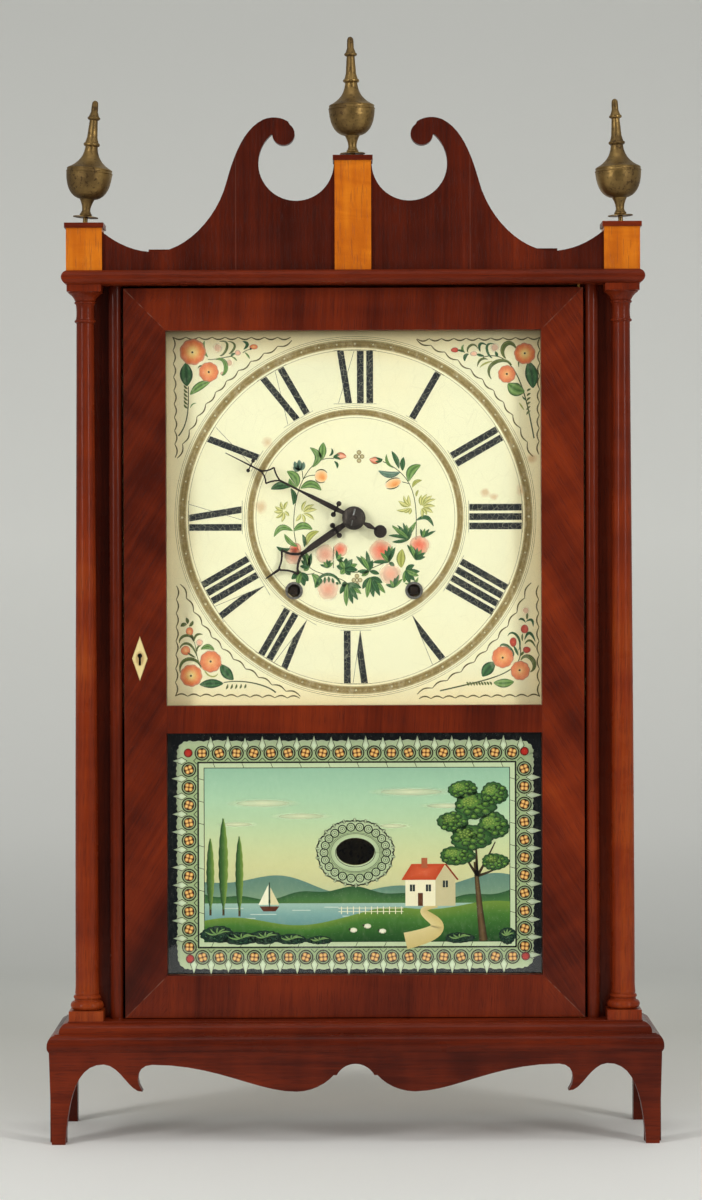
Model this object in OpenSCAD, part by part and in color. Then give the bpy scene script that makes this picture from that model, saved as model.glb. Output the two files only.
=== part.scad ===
/* [Case] */
// Width of the flat of each front stile, outside its bead
flat_w = 21.8; // [19:0.1:27]
// Space behind the movement for the pendulum
pendulum_gap = 10; // [9:0.5:16]
// Thickness of the side boards
side_t = 10; // [7:0.5:12]
// Thickness of the back board
back_t = 8; // [5:0.5:9]
// Thickness of the front stiles
stile_t = 8; // [6:0.5:8]
// Width of the half-round beads beside the door
bead_w = 9.4; // [6:0.1:10]

/* [Base] */
// Height of the feet, floor to the moulding
foot_h = 65.3; // [60:0.1:90]
// Thickness of the base moulding
base_t = 20.4; // [17:0.1:30]
// Reach of the base moulding past the case sides
base_over = 21.5; // [20:0.5:28]
// Reach of the base moulding in front of the stiles
base_front = 39; // [32:0.5:44]
// Thickness of the aprons
apron_t = 12; // [8:0.5:13]
// Set-back of the aprons from the edge of the moulding
apron_in = 1.5; // [0.5:0.1:3]

/* [Cornice] */
// Thickness of the cornice
cornice_t = 10.1; // [8:0.1:14]
// Reach of the cornice past the case sides
cornice_over = 10.5; // [8:0.5:14]
// Reach of the cornice in front of the stiles
cornice_front = 28.5; // [26:0.5:32]

/* [Door] */
// Width of both windows
window_w = 268.6; // [256:0.1:270]
// Width of the door stiles
stile_w = 30.1; // [28:0.1:31]
// Height of the bottom rail
rail_low_h = 30; // [26:0.5:40]
// Height of the painted lower window
tablet_h = 173.4; // [160:0.1:200]
// Height of the middle rail
rail_mid_h = 19.6; // [16:0.1:26]
// Height of the dial window
dial_h = 268.5; // [262:0.1:276]
// Height of the top rail
rail_top_h = 30.1; // [26:0.1:40]
// Thickness of the door
door_t = 14; // [13:0.5:16]
// How far the door stands in front of the stiles
door_proud = 10; // [9:0.5:11]
// Depth of the rebate that holds the glass, and its lap round the window
rebate = 5; // [4:0.5:7]
// Thickness of the glass
glass_t = 2; // [1.5:0.1:3]
// Gap under the door
door_gap_low = 0.6; // [0.4:0.1:1.5]
// Gap over the door
door_gap_top = 2; // [1:0.1:3]
// Gap between the door and each bead
door_gap_side = 1.4; // [1.2:0.1:2]
// Radius of the hinge pins
hinge_pin_r = 1.3; // [1:0.05:1.6]
// Height of the keyhole plate
escutcheon_h = 31.9; // [26:0.1:36]
// Width of the keyhole plate
escutcheon_w = 11.2; // [9:0.1:14]
// Thickness of the lock bolt
bolt_t = 2.4; // [2:0.1:3]

/* [Pillars] */
// Radius of the shaft at the foot
pillar_r_low = 8.25; // [7:0.05:9]
// Radius of the shaft at the neck
pillar_r_top = 6.2; // [5:0.05:7]
// Width of the square blocks at both ends
block_w = 24.5; // [23.6:0.1:25]
// Height of the foot block
block_h = 7.1; // [5:0.1:12]
// Height of the cap block
abacus_h = 5; // [4:0.1:10]

/* [Crest] */
// Thickness of the scrolled boards
crest_t = 8; // [6:0.5:10]
// Set-back of the scrolled boards from the faces of the plinths
crest_in = 3; // [1:0.5:6]
// Width and depth of the side plinths
plinth_w = 25.6; // [22:0.1:27]
// Height of the side plinths
plinth_h = 30.3; // [29:0.1:40]
// Height of the centre plinth
centre_plinth_h = 77.9; // [77:0.1:90]
// Thickness of the plinth caps
cap_t = 3.6; // [2.5:0.1:5]
// Height of each finial, cap to tip
finial_h = 86; // [80:1:95]
// Radius of the finial bowl
finial_r = 16.7; // [14:0.1:19]

/* [Dial and hands] */
// Thickness of the dial board
dial_t = 6; // [5:0.5:8]
// Space between the door and the dial, for the hands
hand_space = 8; // [7.8:0.1:9]
// Length of the minute hand
minute_len = 103.6; // [98:0.1:112]
// Length of the hour hand to its point
hour_len = 76; // [72:0.1:84]
// Thickness of the hands
hand_t = 1.2; // [0.8:0.1:1.4]
// Distance of each winding arbor from the centre line
winding_x = 43.3; // [43:0.1:44]
// Distance of the winding arbors below the dial centre
winding_drop = 52.2; // [51.8:0.1:53]

/* [Movement] */
// Thickness of the movement plates
plate_t = 5; // [4:0.5:6]
// Gap between the movement plates
plate_gap = 25; // [25:0.5:26]
// Gap between the dial board and the front plate
motion_gap = 12; // [11.5:0.5:13]
// Radius of the arbors
arbor_r = 2.4; // [2:0.1:2.6]
// Radius of the pivots
pivot_r = 1.1; // [0.8:0.05:1.5]
// Radius of the escape wheel at its tips
escape_r = 20; // [18:0.5:20.5]
// Radius of the going drum
time_drum_r = 18; // [15:0.5:19]
// Radius of the striking drum
strike_drum_r = 21; // [18:0.5:22]
// Radius of the bell
bell_r = 26; // [23:0.5:26.5]
// Radius of the pendulum bob
bob_r = 22; // [16:0.5:26]
// Thickness of the pendulum bob
bob_t = 7; // [5:0.5:7.5]

/* [Weights] */
// Radius of the weights
weight_r = 25; // [20:0.5:25.5]
// Height of the weights
weight_h = 110; // [90:1:130]
// Distance of the weights from the inside of the case sides
weight_side = 46; // [41:0.5:48]
// Radius of the pulley in its groove
pulley_r = 10; // [8:0.5:11]
// Radius of the cords
cord_r = 0.75; // [0.5:0.05:0.9]

/* [Clearances] */
// Radial running clearance of pivots, pins and pipes
run_fit = 0.05; // [0.03:0.01:0.08]
// Clearance round pieces that are let in
let_in = 0.1; // [0.05:0.05:0.3]
// End shake of the arbors
shake = 0.4; // [0.3:0.1:0.6]

/* [Hidden] */
$fn = 48;

// Colours
mahogany = [0.42, 0.15, 0.09];
satinwood = [0.85, 0.54, 0.2];
pine = [0.72, 0.56, 0.36];
cherry = [0.55, 0.33, 0.18];
brass = [0.72, 0.6, 0.32];
old_brass = [0.48, 0.41, 0.24];
steel = [0.55, 0.56, 0.58];
blued = [0.08, 0.09, 0.11];
iron = [0.2, 0.2, 0.2];
cream = [0.95, 0.93, 0.82];
glass = [0.8, 0.9, 0.9, 0.35];
ivory = [0.9, 0.85, 0.65];
flax = [0.75, 0.68, 0.5];

// Heights
base_top = foot_h + base_t;
door_h = rail_low_h + tablet_h + rail_mid_h + dial_h + rail_top_h;
door_z = base_top + door_gap_low;
door_top = door_z + door_h;
cornice_z = door_top + door_gap_top;
cornice_top = cornice_z + cornice_t;
tablet_z = door_z + rail_low_h;
dial_z = tablet_z + tablet_h + rail_mid_h;
centre_z = dial_z + dial_h / 2;

// Widths
door_w = window_w + 2 * stile_w;
bead_x = door_w / 2 + door_gap_side;
case_w = 2 * (bead_x + bead_w + flat_w);
base_w = case_w + 2 * base_over;
cornice_w = case_w + 2 * cornice_over;
inner_x = case_w / 2 - side_t;
pillar_in = 5.5;
pillar_x = case_w / 2 - pillar_in;
plinth_in = pillar_x - plinth_w / 2;
cap_over = 1.2;
centre_plinth_w = 26;
window_half = window_w / 2;
glass_lap = rebate - 0.5;
strip_in = 0.4;
keyhole_x = -window_half - 0.63 * stile_w;

// Depths, front to back
works_d = 2 * plate_t + plate_gap;
case_d = door_t - door_proud + hand_space + dial_t + motion_gap + works_d + pendulum_gap + back_t;
total_d = case_d + base_front;
back_y = total_d / 2;
back_in = back_y - back_t;
stile_y = back_y - case_d;
base_y = -back_y;
cornice_y = stile_y - cornice_front;
door_y = stile_y - door_proud;
door_back = door_y + door_t;
dial_y = door_back + hand_space;
dial_back = dial_y + dial_t;
front_plate_y = dial_back + motion_gap;
works_y = front_plate_y + plate_t;
back_plate_y = works_y + plate_gap;
works_back = back_plate_y + plate_t;
pillar_y = stile_y - block_w / 2;
plinth_y = cornice_y + cornice_t / 2 + 0.5 + plinth_w / 2;
crest_y = plinth_y - plinth_w / 2 + crest_in;
centre_stand = 2;
glue_block_w = 16;
glue_block_d = 12;
glue_block_h = 15.6;
glue_block_x = 40;
glue_block_in = 48.7;
dial_gap = 1.5;

// Hinge leaves and pins of the door, let into its ends, the base and the cornice
hinge_x = door_w / 2 - 3;
hinge_y = door_y + 3.2;
leaf_l = 18;
leaf_w = 5;
leaf_end = 2.5;
leaf_t = 1;
pin_reach = 4;

// Lock in the left stile of the door
lock_h = 36;
lock_w = 22;
lock_t = 6;
lock_x = -door_w / 2 + 2;
bolt_z = dial_z + 34;
bolt_y = door_back - 2.2 - bolt_t;
bolt_h = 9;
bolt_throw = 5;
bolt_rest = door_w / 2 - 0.6;
bolt_play = 0.3;
escutcheon_in = 0.8;
escutcheon_proud = 0.3;

// Trains: wheel teeth, pinion leaves and places from the dial centre
great_n = 82;
strike_great_n = 78;
wheel_n = 60;
leaf_n = 8;
fly_leaf_n = 6;
warning_n = 48;
escape_n = 42;
hour_n = 48;
minute_n = 36;
cannon_n = 12;
tooth_share = 0.37;
leaf_share = 0.3;
t1 = [winding_x, -winding_drop];
t2 = [0, 0];
great_m = 2 * norm(t1) / (great_n + leaf_n);
third_m = 1.1;
fourth_m = 1;
t3 = spot(t2, third_m * (wheel_n + leaf_n) / 2, 60);
t4_dist = fourth_m * (wheel_n + fly_leaf_n) / 2;
t4 = [0, t3[1] + sqrt(t4_dist ^ 2 - t3[0] ^ 2)];
verge_rise = 1.25 * escape_r;
verge_spot = [0, t4[1] + verge_rise];
s1 = [-winding_x, -winding_drop];
s2 = spot(s1, great_m * (strike_great_n + leaf_n) / 2, 114.3);
s3 = spot(s2, fourth_m * (wheel_n + fly_leaf_n) / 2, 76);
warning_m = 0.9;
s4 = spot(s3, warning_m * (warning_n + fly_leaf_n) / 2, 60);
motion_far = 24;
cannon_m = 2 * motion_far / (cannon_n + minute_n);
hour_m = 2 * motion_far / (cannon_n + hour_n);
minute_spot = [0, motion_far];
hammer_spot = [-35, 14.5];
bell_spot = [0, verge_spot[1] + 13.4 + bell_r];

// Planes of the wheels between the plates, from the front plate
time_great_y = works_y + 1.5;
strike_great_y = works_y + 19.5;
wheel_t = 4;
thin_t = 3;
centre_wheel_y = works_y + 13;
third_wheel_y = works_y + 7.5;
escape_y = works_y + 20;
escape_t = 2;
pin_wheel_y = works_y + 7;
warning_y = works_y + 15;
fly_y = works_y + 7;
fly_d = 6.5;
hammer_y = works_y + 20.5;
ratchet_t = 2;
drum_t = 7;
time_ratchet_y = time_great_y + wheel_t + shake;
time_drum_y = time_ratchet_y + ratchet_t;
strike_ratchet_y = strike_great_y - shake - ratchet_t;
strike_drum_y = strike_ratchet_y - drum_t;
time_cord_y = time_drum_y + drum_t / 2;
strike_cord_y = strike_drum_y + drum_t / 2;
ratchet_r = 15;
ratchet_n = 12;
time_ratchet_lead = 2;
strike_ratchet_lead = 5.5;
click_far = 24;
click_len = 14;
click_clear = 0.4;
click_pin_r = 1.3;
time_click_at = 25;
strike_click_at = 155;
click_turn = acos((click_far ^ 2 + (ratchet_r + click_clear) ^ 2 - click_len ^ 2)
    / (2 * click_far * (ratchet_r + click_clear)));
arbor_slim = 1.8;
fly_slim = 1.5;
fly_hub = 2.6;
pin_r = 1.2;
pin_ring = 24;
pin_n = 8;
lap = 0.01;

// Crutch and pendulum behind the back plate
crutch_y = works_back + 0.8;
crutch_t = 1.5;
crutch_len = 60;
cock_t = 1.5;
cock_gap = 0.6;
rod_r = 1.5;
rod_slim = 1.3;
rod_y = back_in - 4.6;
eye_t = 2.4;
bob_z = tablet_z + tablet_h / 2 + 1.1;

// Motion work in front of the front plate
cannon_y = front_plate_y - 4.5;
hour_y = cannon_y - 5;
pipe_r = 3;
hour_pipe_r = 4.4;
arbor_front_r = 2;
stud_r = 1.5;
hour_hand_y = dial_y - 2.4 - hand_t;
minute_hand_y = hour_hand_y - 1.6 - hand_t;
hour_angle = 214.4;
minute_angle = 152.9;
bush_r = 6.3;
bush_wall = 1.6;

// Weights, pulleys and cords
weight_x = inner_x - weight_side;
cord_lift = 0.12;
cord_ride = pulley_r + cord_r + cord_lift;
pulley_spot = [weight_x - cord_ride, 0];
pulley_z = cornice_z - 25;
pulley_t = 6;
pulley_pin_r = 1.6;
pulley_lip = 2;
weight_z = base_top + 6;
hook_h = 12;
weight_top = weight_z + weight_h + hook_h;
winding_arbor_r = 4;
square_w = 5.6;

// Plates
plate_half = 85;
plate_low = -120;
plate_high = verge_spot[1] + 11;
post_r = 5;
posts = [[-78, -112], [78, -112], [-76, plate_high - 8], [76, plate_high - 8]];
rail_x = 64;
rail_w = 16;
rail_in = 6;
cleat_w = 14;
cleat_d = 12;
cleat_h = 90;
cleat_up = 20;

// A point at a distance and an angle from another
function spot(p, d, a) = [p[0] + d * cos(a), p[1] + d * sin(a)];

// Angle of the line from one point to another
function aim(p, q) = atan2(q[1] - p[1], q[0] - p[0]);

// Points of a cubic curve without its first point
function curve(a, b, c, d, n = 8) =
    [for (i = [1:n]) let (t = i / n, u = 1 - t)
        u ^ 3 * a + 3 * u ^ 2 * t * b + 3 * u * t ^ 2 * c + t ^ 3 * d];

// Points of a quadratic curve without its first point
function bend(a, b, c, n = 5) =
    [for (i = [1:n]) let (t = i / n, u = 1 - t) u ^ 2 * a + 2 * u * t * b + t ^ 2 * c];

// Points of an arc from angle a to angle b
function arc(p, r, a, b, n = 8) = [for (i = [0:n]) spot(p, r, a + (b - a) * i / n)];

// Outline of a toothed wheel with one tooth centred at the phase angle
function gear_points(n, m, share, phase) =
    let (r = n * m / 2, tip = r + 0.85 * m, root = r - 1.15 * m, step = 360 / n)
    [for (i = [0:n - 1], k = [0:3])
        let (low = k == 0 || k == 3, side = k < 2 ? -1 : 1)
        let (half = step * share / 2 * (low ? 1.15 : 0.6))
        spot([0, 0], low ? root : tip, phase + i * step + side * half)];

// Plate along Y from y0, drawn upright in X and Z
module slab(y0, t) {
    translate([0, y0 + t, 0])
    rotate([90, 0, 0])
    linear_extrude(t)
    children();
}

// Round bar along Y from y0 to y1
module bar(r, y0, y1) {
    translate([0, y1, 0])
    rotate([90, 0, 0])
    cylinder(r = r, h = y1 - y0);
}

// Moves to a place given from the dial centre
module at(p) {
    translate([p[0], 0, centre_z + p[1]])
    children();
}

module both_sides() {
    children();
    mirror([1, 0, 0]) children();
}

// Board with a profile of set-backs by height on its front and sides, flush at the back
module moulded_board(half_w, front_y, profile) {
    n = len(profile);
    intersection() {
        rotate([90, 0, 90])
        translate([0, 0, -half_w])
        linear_extrude(2 * half_w)
        polygon(concat([for (p = profile) [front_y + p[0], p[1]]],
            [[back_y, profile[n - 1][1]], [back_y, profile[0][1]]]));
        slab(front_y, back_y - front_y)
        polygon(concat([for (p = profile) [half_w - p[0], p[1]]],
            [for (i = [n - 1:-1:0]) [profile[i][0] - half_w, profile[i][1]]]));
    }
}

module case_sides() {
    color(mahogany)
    both_sides()
    translate([inner_x, stile_y + stile_t, base_top])
    cube([side_t, case_d - stile_t - back_t, cornice_z - base_top]);
}

module back_board() {
    color(pine)
    translate([-case_w / 2, back_in, base_top])
    cube([case_w, back_t, cornice_z - base_top]);
}

// Cornice with a half-round nose and the bored seat of the upper hinge pin
module cornice() {
    r = cornice_t / 2;
    nose = arc([r, cornice_z + r], r, 270, 90, 12);
    color(mahogany)
    difference() {
        moulded_board(cornice_w / 2, cornice_y, nose);
        hinge_seat(cornice_z, 1);
    }
}

// Recess and bore for a hinge leaf and pin, above or below a face
module hinge_seat(z, up) {
    translate([hinge_x, hinge_y, z])
    mirror([0, 0, up > 0 ? 0 : 1])
    union() {
        translate([leaf_end - leaf_l - let_in, -leaf_w / 2 - let_in, -lap])
        cube([leaf_l + 2 * let_in, leaf_w + 2 * let_in, leaf_t + let_in / 2 + lap]);
        cylinder(r = hinge_pin_r + run_fit, h = pin_reach + 0.3);
    }
}

// Two quarter rounds with a flat between them, stepped in to the pillar blocks
module base_moulding() {
    z = foot_h;
    flat_z = z + base_t * 0.6;
    flat_in = 8;
    edge_in = base_front - block_w - 0.4;
    edge_z = base_top - 0.7;
    profile = concat(
        [[1.2, z]],
        curve([0.6, z + 0.6], [0, z + 2], [-0.1, z + 4], [0.2, z + 6], 4),
        curve([0.2, z + 6], [0.8, z + 9], [2.4, flat_z - 1], [5, flat_z - 0.6], 8),
        [[5.2, flat_z], [flat_in, flat_z]],
        curve([flat_in, flat_z + 0.5], [flat_in, flat_z + 4], [flat_in + 2.6, edge_z - 0.4],
            [edge_in, edge_z], 8),
        [[edge_in, base_top]]);
    color(mahogany)
    difference() {
        moulded_board(base_w / 2, base_y, profile);
        hinge_seat(base_top, -1);
    }
}

// Half of the apron outline by distance from the centre line and height below the moulding
module apron_outline() {
    x = base_w / 2 - apron_in;
    z = foot_h;
    arch_r = 15.06;
    lobe_z = z - 28.1;
    cusp = [x - 66.3, z - 27.8];
    half = concat(
        arc([0, z - 23.6], arch_r, 90, 28.1, 8),
        [[15.5, z - 16.5]],
        curve([15.5, z - 16.5], [21, z - 22.8], [31, lobe_z], [42, lobe_z], 6),
        curve([42, lobe_z], [70, lobe_z], [x - 119, z - 8.8], [x - 73, z - 8.8], 10),
        curve([x - 73, z - 8.8], [x - 63, z - 8.8], [x - 60, z - 19.3], cusp, 6),
        curve(cusp, [x - 57, z - 28.8], [x - 51, z - 9.3], [x - 39, z - 8.5], 8),
        curve([x - 39, z - 8.5], [x - 20, z - 7.8], [x - 13.5, z - 31.3], [x - 11.5, 0], 10),
        [[x - 2, 0], [x, z]]);
    polygon(concat([for (i = [len(half) - 1:-1:1]) [-half[i][0], half[i][1]]], half));
}

module front_apron() {
    color(mahogany)
    slab(base_y + apron_in, apron_t)
    apron_outline();
}

// Side aprons run from the front apron to the back, with a rear foot and a plain arch
module side_aprons() {
    x = base_w / 2 - apron_in;
    y0 = base_y + apron_in + apron_t;
    span = back_y - y0;
    z = foot_h;
    top = z - 9;
    front_foot = 3;
    rear_foot = 10;
    low = [span - rear_foot, 0];
    outline = concat(
        [[0, 0], [front_foot, 0]],
        curve([front_foot, 0], [front_foot + 1, z * 0.55], [front_foot + 9, top],
            [front_foot + 24, top], 8),
        curve([span - 30, top], [span - 16, top], [span - rear_foot - 1, z * 0.55], low, 8),
        [[span, 0], [span, z], [0, z]]);
    color(mahogany)
    both_sides()
    translate([x - apron_t, y0, 0])
    rotate([90, 0, 90])
    linear_extrude(apron_t)
    polygon(outline);
}

// Front stiles with a half-round bead along the door, the left one with the mortise of the lock
module front_stiles() {
    r = bead_w / 2;
    stile_h = cornice_z - base_top;
    color(mahogany)
    difference() {
        both_sides()
        union() {
            translate([bead_x, stile_y, base_top])
            cube([case_w / 2 - bead_x, stile_t, stile_h]);
            translate([bead_x, door_y + r, base_top])
            cube([bead_w, door_proud - r + lap, stile_h]);
            translate([bead_x + r, door_y + r, base_top])
            cylinder(r = r, h = stile_h);
        }
        translate([-bead_x - bolt_throw - 1, bolt_y - 0.5, bolt_z - bolt_h / 2 - 0.6])
        cube([bolt_throw + 1.1, bolt_t + 1, bolt_h + 1.2]);
    }
}

// One scrolled half of the crest, from the centre plinth to the side plinth
module scroll_outline() {
    z = cornice_top;
    eye = [49.3, z + 97];
    eye_r = 8;
    bowl = [centre_plinth_w / 2 + 27.4, z + 76.2];
    bowl_r = 26.9;
    side = [plinth_in, z + 27.7];
    low_x = plinth_in - 37.7;
    union() {
        difference() {
            polygon(concat(
                [[centre_plinth_w / 2, z], [plinth_in, z], side],
                curve(side, [plinth_in - 11, z + 18.6], [low_x + 14, z + 13.1], [low_x, z + 13.1], 8),
                curve([low_x, z + 13.1], [low_x - 21, z + 13.6], [97, z + 36.1], [90, z + 62.7], 12),
                curve([90, z + 62.7], [84.5, z + 83.1], [77, z + 101.1], [63.6, z + 107.3], 10),
                curve([63.6, z + 107.3], [58, z + 109.6], [51, z + 109.2], [46, z + 105.8], 6),
                [[41.3, z + 97.7], [41.3, z + 77.1], [centre_plinth_w / 2, z + 77.1]]));
            translate(bowl) circle(r = bowl_r);
        }
        translate(eye) circle(r = eye_r);
    }
}

module crest_scrolls() {
    color(mahogany)
    both_sides()
    slab(crest_y, crest_t)
    scroll_outline();
}

module glue_blocks() {
    color(pine)
    both_sides()
    for (x = [glue_block_x, plinth_in - glue_block_in])
        translate([x, crest_y + crest_t, cornice_top])
        cube([glue_block_w, glue_block_d, glue_block_h]);
}

module plinths() {
    color(satinwood)
    union() {
        both_sides()
        translate([plinth_in, plinth_y - plinth_w / 2, cornice_top])
        cube([plinth_w, plinth_w, plinth_h]);
        translate([-centre_plinth_w / 2, plinth_y - plinth_w / 2, cornice_top])
        cube([centre_plinth_w, plinth_w, centre_plinth_h]);
    }
}

module plinth_caps() {
    w = plinth_w + 2 * cap_over;
    cw = centre_plinth_w + 2 * cap_over;
    color(mahogany)
    union() {
        both_sides()
        translate([pillar_x - w / 2, plinth_y - w / 2, cornice_top + plinth_h])
        cube([w, w, cap_t]);
        translate([-cw / 2, plinth_y - w / 2, cornice_top + centre_plinth_h])
        cube([cw, w, cap_t]);
    }
}

// Turned urn finial on the thread that holds it, which shows under its foot disc by stand
module finial(stand) {
    h = finial_h - centre_stand;
    r = finial_r;
    cylinder(r = 1.7, h = stand + lap);
    translate([0, 0, stand])
    rotate_extrude()
    polygon(concat(
        [[0, 0], [9, 0], [9, 0.6], [4.4, 0.9]],
        arc([3.2, 2], 1.2, -60, 60, 4),
        curve([3.1, 3.3], [2.8, 6], [3, 9], [5.35, 13.2], 5),
        curve([5.35, 13.2], [r * 0.68, 14.2], [r * 0.94, 19.5], [r * 0.985, 31], 8),
        arc([r - 0.8, 32.2], 0.8, -60, 60, 4),
        [[r * 0.965, 33.3]],
        arc([r - 1.1, 34.3], 0.7, -50, 60, 4),
        curve([r * 0.92, 35.2], [r * 0.6, 38], [r * 0.31, 42], [4.4, 50.6], 7),
        arc([4.6, 52.4], 1.3, -80, 80, 5),
        curve([3.9, 54], [3.8, 58], [3.1, 66], [2.9, h - 14.4], 4),
        arc([3.5, h - 12.8], 1.1, -80, 80, 5),
        curve([2.4, h - 11.2], [2.5, h - 7], [2.5, h - 3.4], [2.1, h - 1.6], 4),
        curve([2.1, h - 1.6], [1.6, h - 0.5], [0.8, h], [0, h], 3)));
}

module finials() {
    lean_left = 5;
    lean_right = -2.7;
    lean_centre = -1;
    side_stand = 4.6;
    side_seat = 0.16;
    centre_seat = 0.03;
    color(old_brass)
    union() {
        for (side = [-1, 1])
            translate([side * pillar_x, plinth_y, cornice_top + plinth_h + cap_t + side_seat])
            rotate([0, side < 0 ? lean_left : lean_right, 0])
            finial(side_stand);
        translate([0, plinth_y, cornice_top + centre_plinth_h + cap_t + centre_seat])
        rotate([0, lean_centre, 0])
        finial(centre_stand);
    }
}

// Turned pillar with its square foot and cap blocks
module pillar() {
    z0 = base_top + block_h;
    z1 = cornice_z - abacus_h;
    ring_z = z1 - 20.7;
    collar_z = z1 - 7.5;
    r = pillar_r_top;
    w = block_w;
    translate([-w / 2, -w / 2, base_top])
    cube([w, w, block_h]);
    rotate_extrude()
    polygon(concat(
        [[0, z0], [9.4, z0]],
        arc([8.5, z0 + 3.3], 3.3, -75, 75, 8),
        [[9, z0 + 6.8], [9, z0 + 7.6]],
        arc([8.1, z0 + 9.2], 1.6, -70, 80, 5),
        curve([8.9, z0 + 11.3], [8.5, z0 + 12.3], [8.4, z0 + 14], [pillar_r_low, z0 + 18], 4),
        curve([pillar_r_low, z0 + 18], [pillar_r_low, z0 + 180], [r + 0.7, ring_z - 170],
            [r, ring_z - 1.6], 10),
        arc([r + 0.3, ring_z], 1.1, -80, 80, 5),
        curve([r + 0.3, ring_z + 1.5], [r - 0.1, ring_z + 4], [r - 0.1, collar_z - 4],
            [r + 0.4, collar_z - 1.4], 6),
        arc([r + 0.5, collar_z], 0.95, -80, 80, 5),
        curve([r + 1.1, collar_z + 1.1], [r + 1.3, collar_z + 2.8], [r + 2.7, z1 - 2.8],
            [r + 4.8, z1 - 1.2], 6),
        [[w / 2 - 0.3, z1 - 0.6], [w / 2 - 0.3, z1], [0, z1]]));
    translate([-w / 2, -w / 2, z1])
    cube([w, w, abacus_h]);
}

module pillars() {
    color(mahogany)
    for (side = [-1, 1])
        translate([side * pillar_x, pillar_y, 0])
        pillar();
}

module dial_board() {
    low = centre_z - dial_h / 2 - 10;
    high = cornice_z - 14;
    color(cream)
    difference() {
        translate([dial_gap - inner_x, dial_y, low])
        cube([2 * (inner_x - dial_gap), dial_t, high - low]);
        at(t2) bar(hour_pipe_r + 0.8, dial_y - 1, dial_back + 1);
        for (p = [t1, s1])
            at(p) bar(bush_r + let_in, dial_y - 1, dial_back + 1);
    }
}

module winding_bushes() {
    color(iron)
    for (p = [t1, s1])
        at(p)
        difference() {
            bar(bush_r, dial_y - 0.8, dial_back + 0.4);
            bar(bush_r - bush_wall, dial_y - 2, dial_back + 2);
        }
}

// Leaves let into the base and the cornice, each bored for a pin
module case_hinge_leaves() {
    color(brass)
    for (up = [-1, 1])
        translate([hinge_x, hinge_y, up > 0 ? cornice_z : base_top])
        mirror([0, 0, up > 0 ? 0 : 1])
        difference() {
            translate([leaf_end - leaf_l, -leaf_w / 2, 0])
            cube([leaf_l, leaf_w, leaf_t]);
            translate([0, 0, -1])
            cylinder(r = hinge_pin_r + run_fit, h = leaf_t + 2);
        }
}

// Rails behind the movement and cleats behind the dial
module movement_rails() {
    color(pine)
    both_sides()
    union() {
        translate([rail_x, works_back, centre_z + plate_low + rail_in])
        cube([rail_w, back_in - works_back, plate_high - plate_low - 2 * rail_in]);
        for (z = [centre_z - dial_h / 2, centre_z + dial_h / 2 - cleat_h + cleat_up])
            translate([inner_x - cleat_w, dial_back, z])
            cube([cleat_w, cleat_d, cleat_h]);
    }
}

// Outline of a movement plate with chamfered corners
module plate_outline() {
    c = 8;
    x = plate_half;
    polygon([[-x, plate_low + c], [c - x, plate_low], [x - c, plate_low], [x, plate_low + c],
        [x, plate_high - c], [x - c, plate_high], [c - x, plate_high], [-x, plate_high - c]]);
}

module plate(y0, wide_r) {
    difference() {
        at([0, 0])
        slab(y0, plate_t)
        plate_outline();
        for (p = [t3, t4, s2, s3, s4, verge_spot, hammer_spot])
            at(p) bar(pivot_r + run_fit, y0 - 1, y0 + plate_t + 1);
        for (p = [t1, s1])
            at(p) bar(wide_r + run_fit, y0 - 1, y0 + plate_t + 1);
        at(t2) bar((wide_r > pivot_r ? arbor_front_r : pivot_r) + run_fit, y0 - 1, y0 + plate_t + 1);
    }
}

module front_plate() {
    color(cherry)
    union() {
        plate(front_plate_y, winding_arbor_r);
        at(minute_spot) bar(stud_r, cannon_y - 4.5, front_plate_y);
    }
}

module back_plate() {
    color(cherry)
    plate(back_plate_y, pivot_r);
}

module plate_posts() {
    color(cherry)
    for (p = posts)
        at(p) bar(post_r, works_y, back_plate_y);
}

// Cock behind the back plate with the pin that the pendulum hangs from
module suspension_cock() {
    color(brass)
    at(verge_spot)
    union() {
        translate([-6, works_back, 6])
        cube([12, back_in - cock_gap - works_back, 4.5]);
        translate([-6, back_in - cock_gap - cock_t, -4])
        cube([12, cock_t, 12]);
        bar(rod_r, rod_y - eye_t / 2 - 0.5, back_in - cock_gap - cock_t + lap);
    }
}

module bell() {
    y1 = works_y + 27;
    depth = 14;
    wall = 1.8;
    post = 2;
    outer = [for (t = [12:6:90]) [bell_r * sin(t), depth * (1 - cos(t))]];
    inner = [for (t = [90:-6:12]) [(bell_r - wall) * sin(t), wall + (depth - wall) * (1 - cos(t))]];
    color(brass)
    at(bell_spot)
    union() {
        translate([0, y1, 0])
        rotate([90, 0, 0])
        rotate_extrude()
        polygon(concat(outer, inner, [[post + run_fit, wall], [post + run_fit, 0]]));
        bar(post, y1 - wall - 2, back_in);
        difference() {
            bar(4, y1 - wall - 3, y1 - wall - shake);
            bar(post + run_fit, y1 - wall - 4, y1 - wall);
        }
        difference() {
            bar(4, y1 + shake, y1 + 2.5);
            bar(post + run_fit, y1, y1 + 3);
        }
    }
}

// Angle of the cord between a drum and its pulley, leaving the drum on its outer side
function lead_angle(drum_r) =
    let (a = t1, b = [pulley_spot[0], pulley_z - centre_z])
    aim(a, b) + asin((drum_r + cord_r + cord_lift + cord_ride) / norm(b - a));

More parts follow.
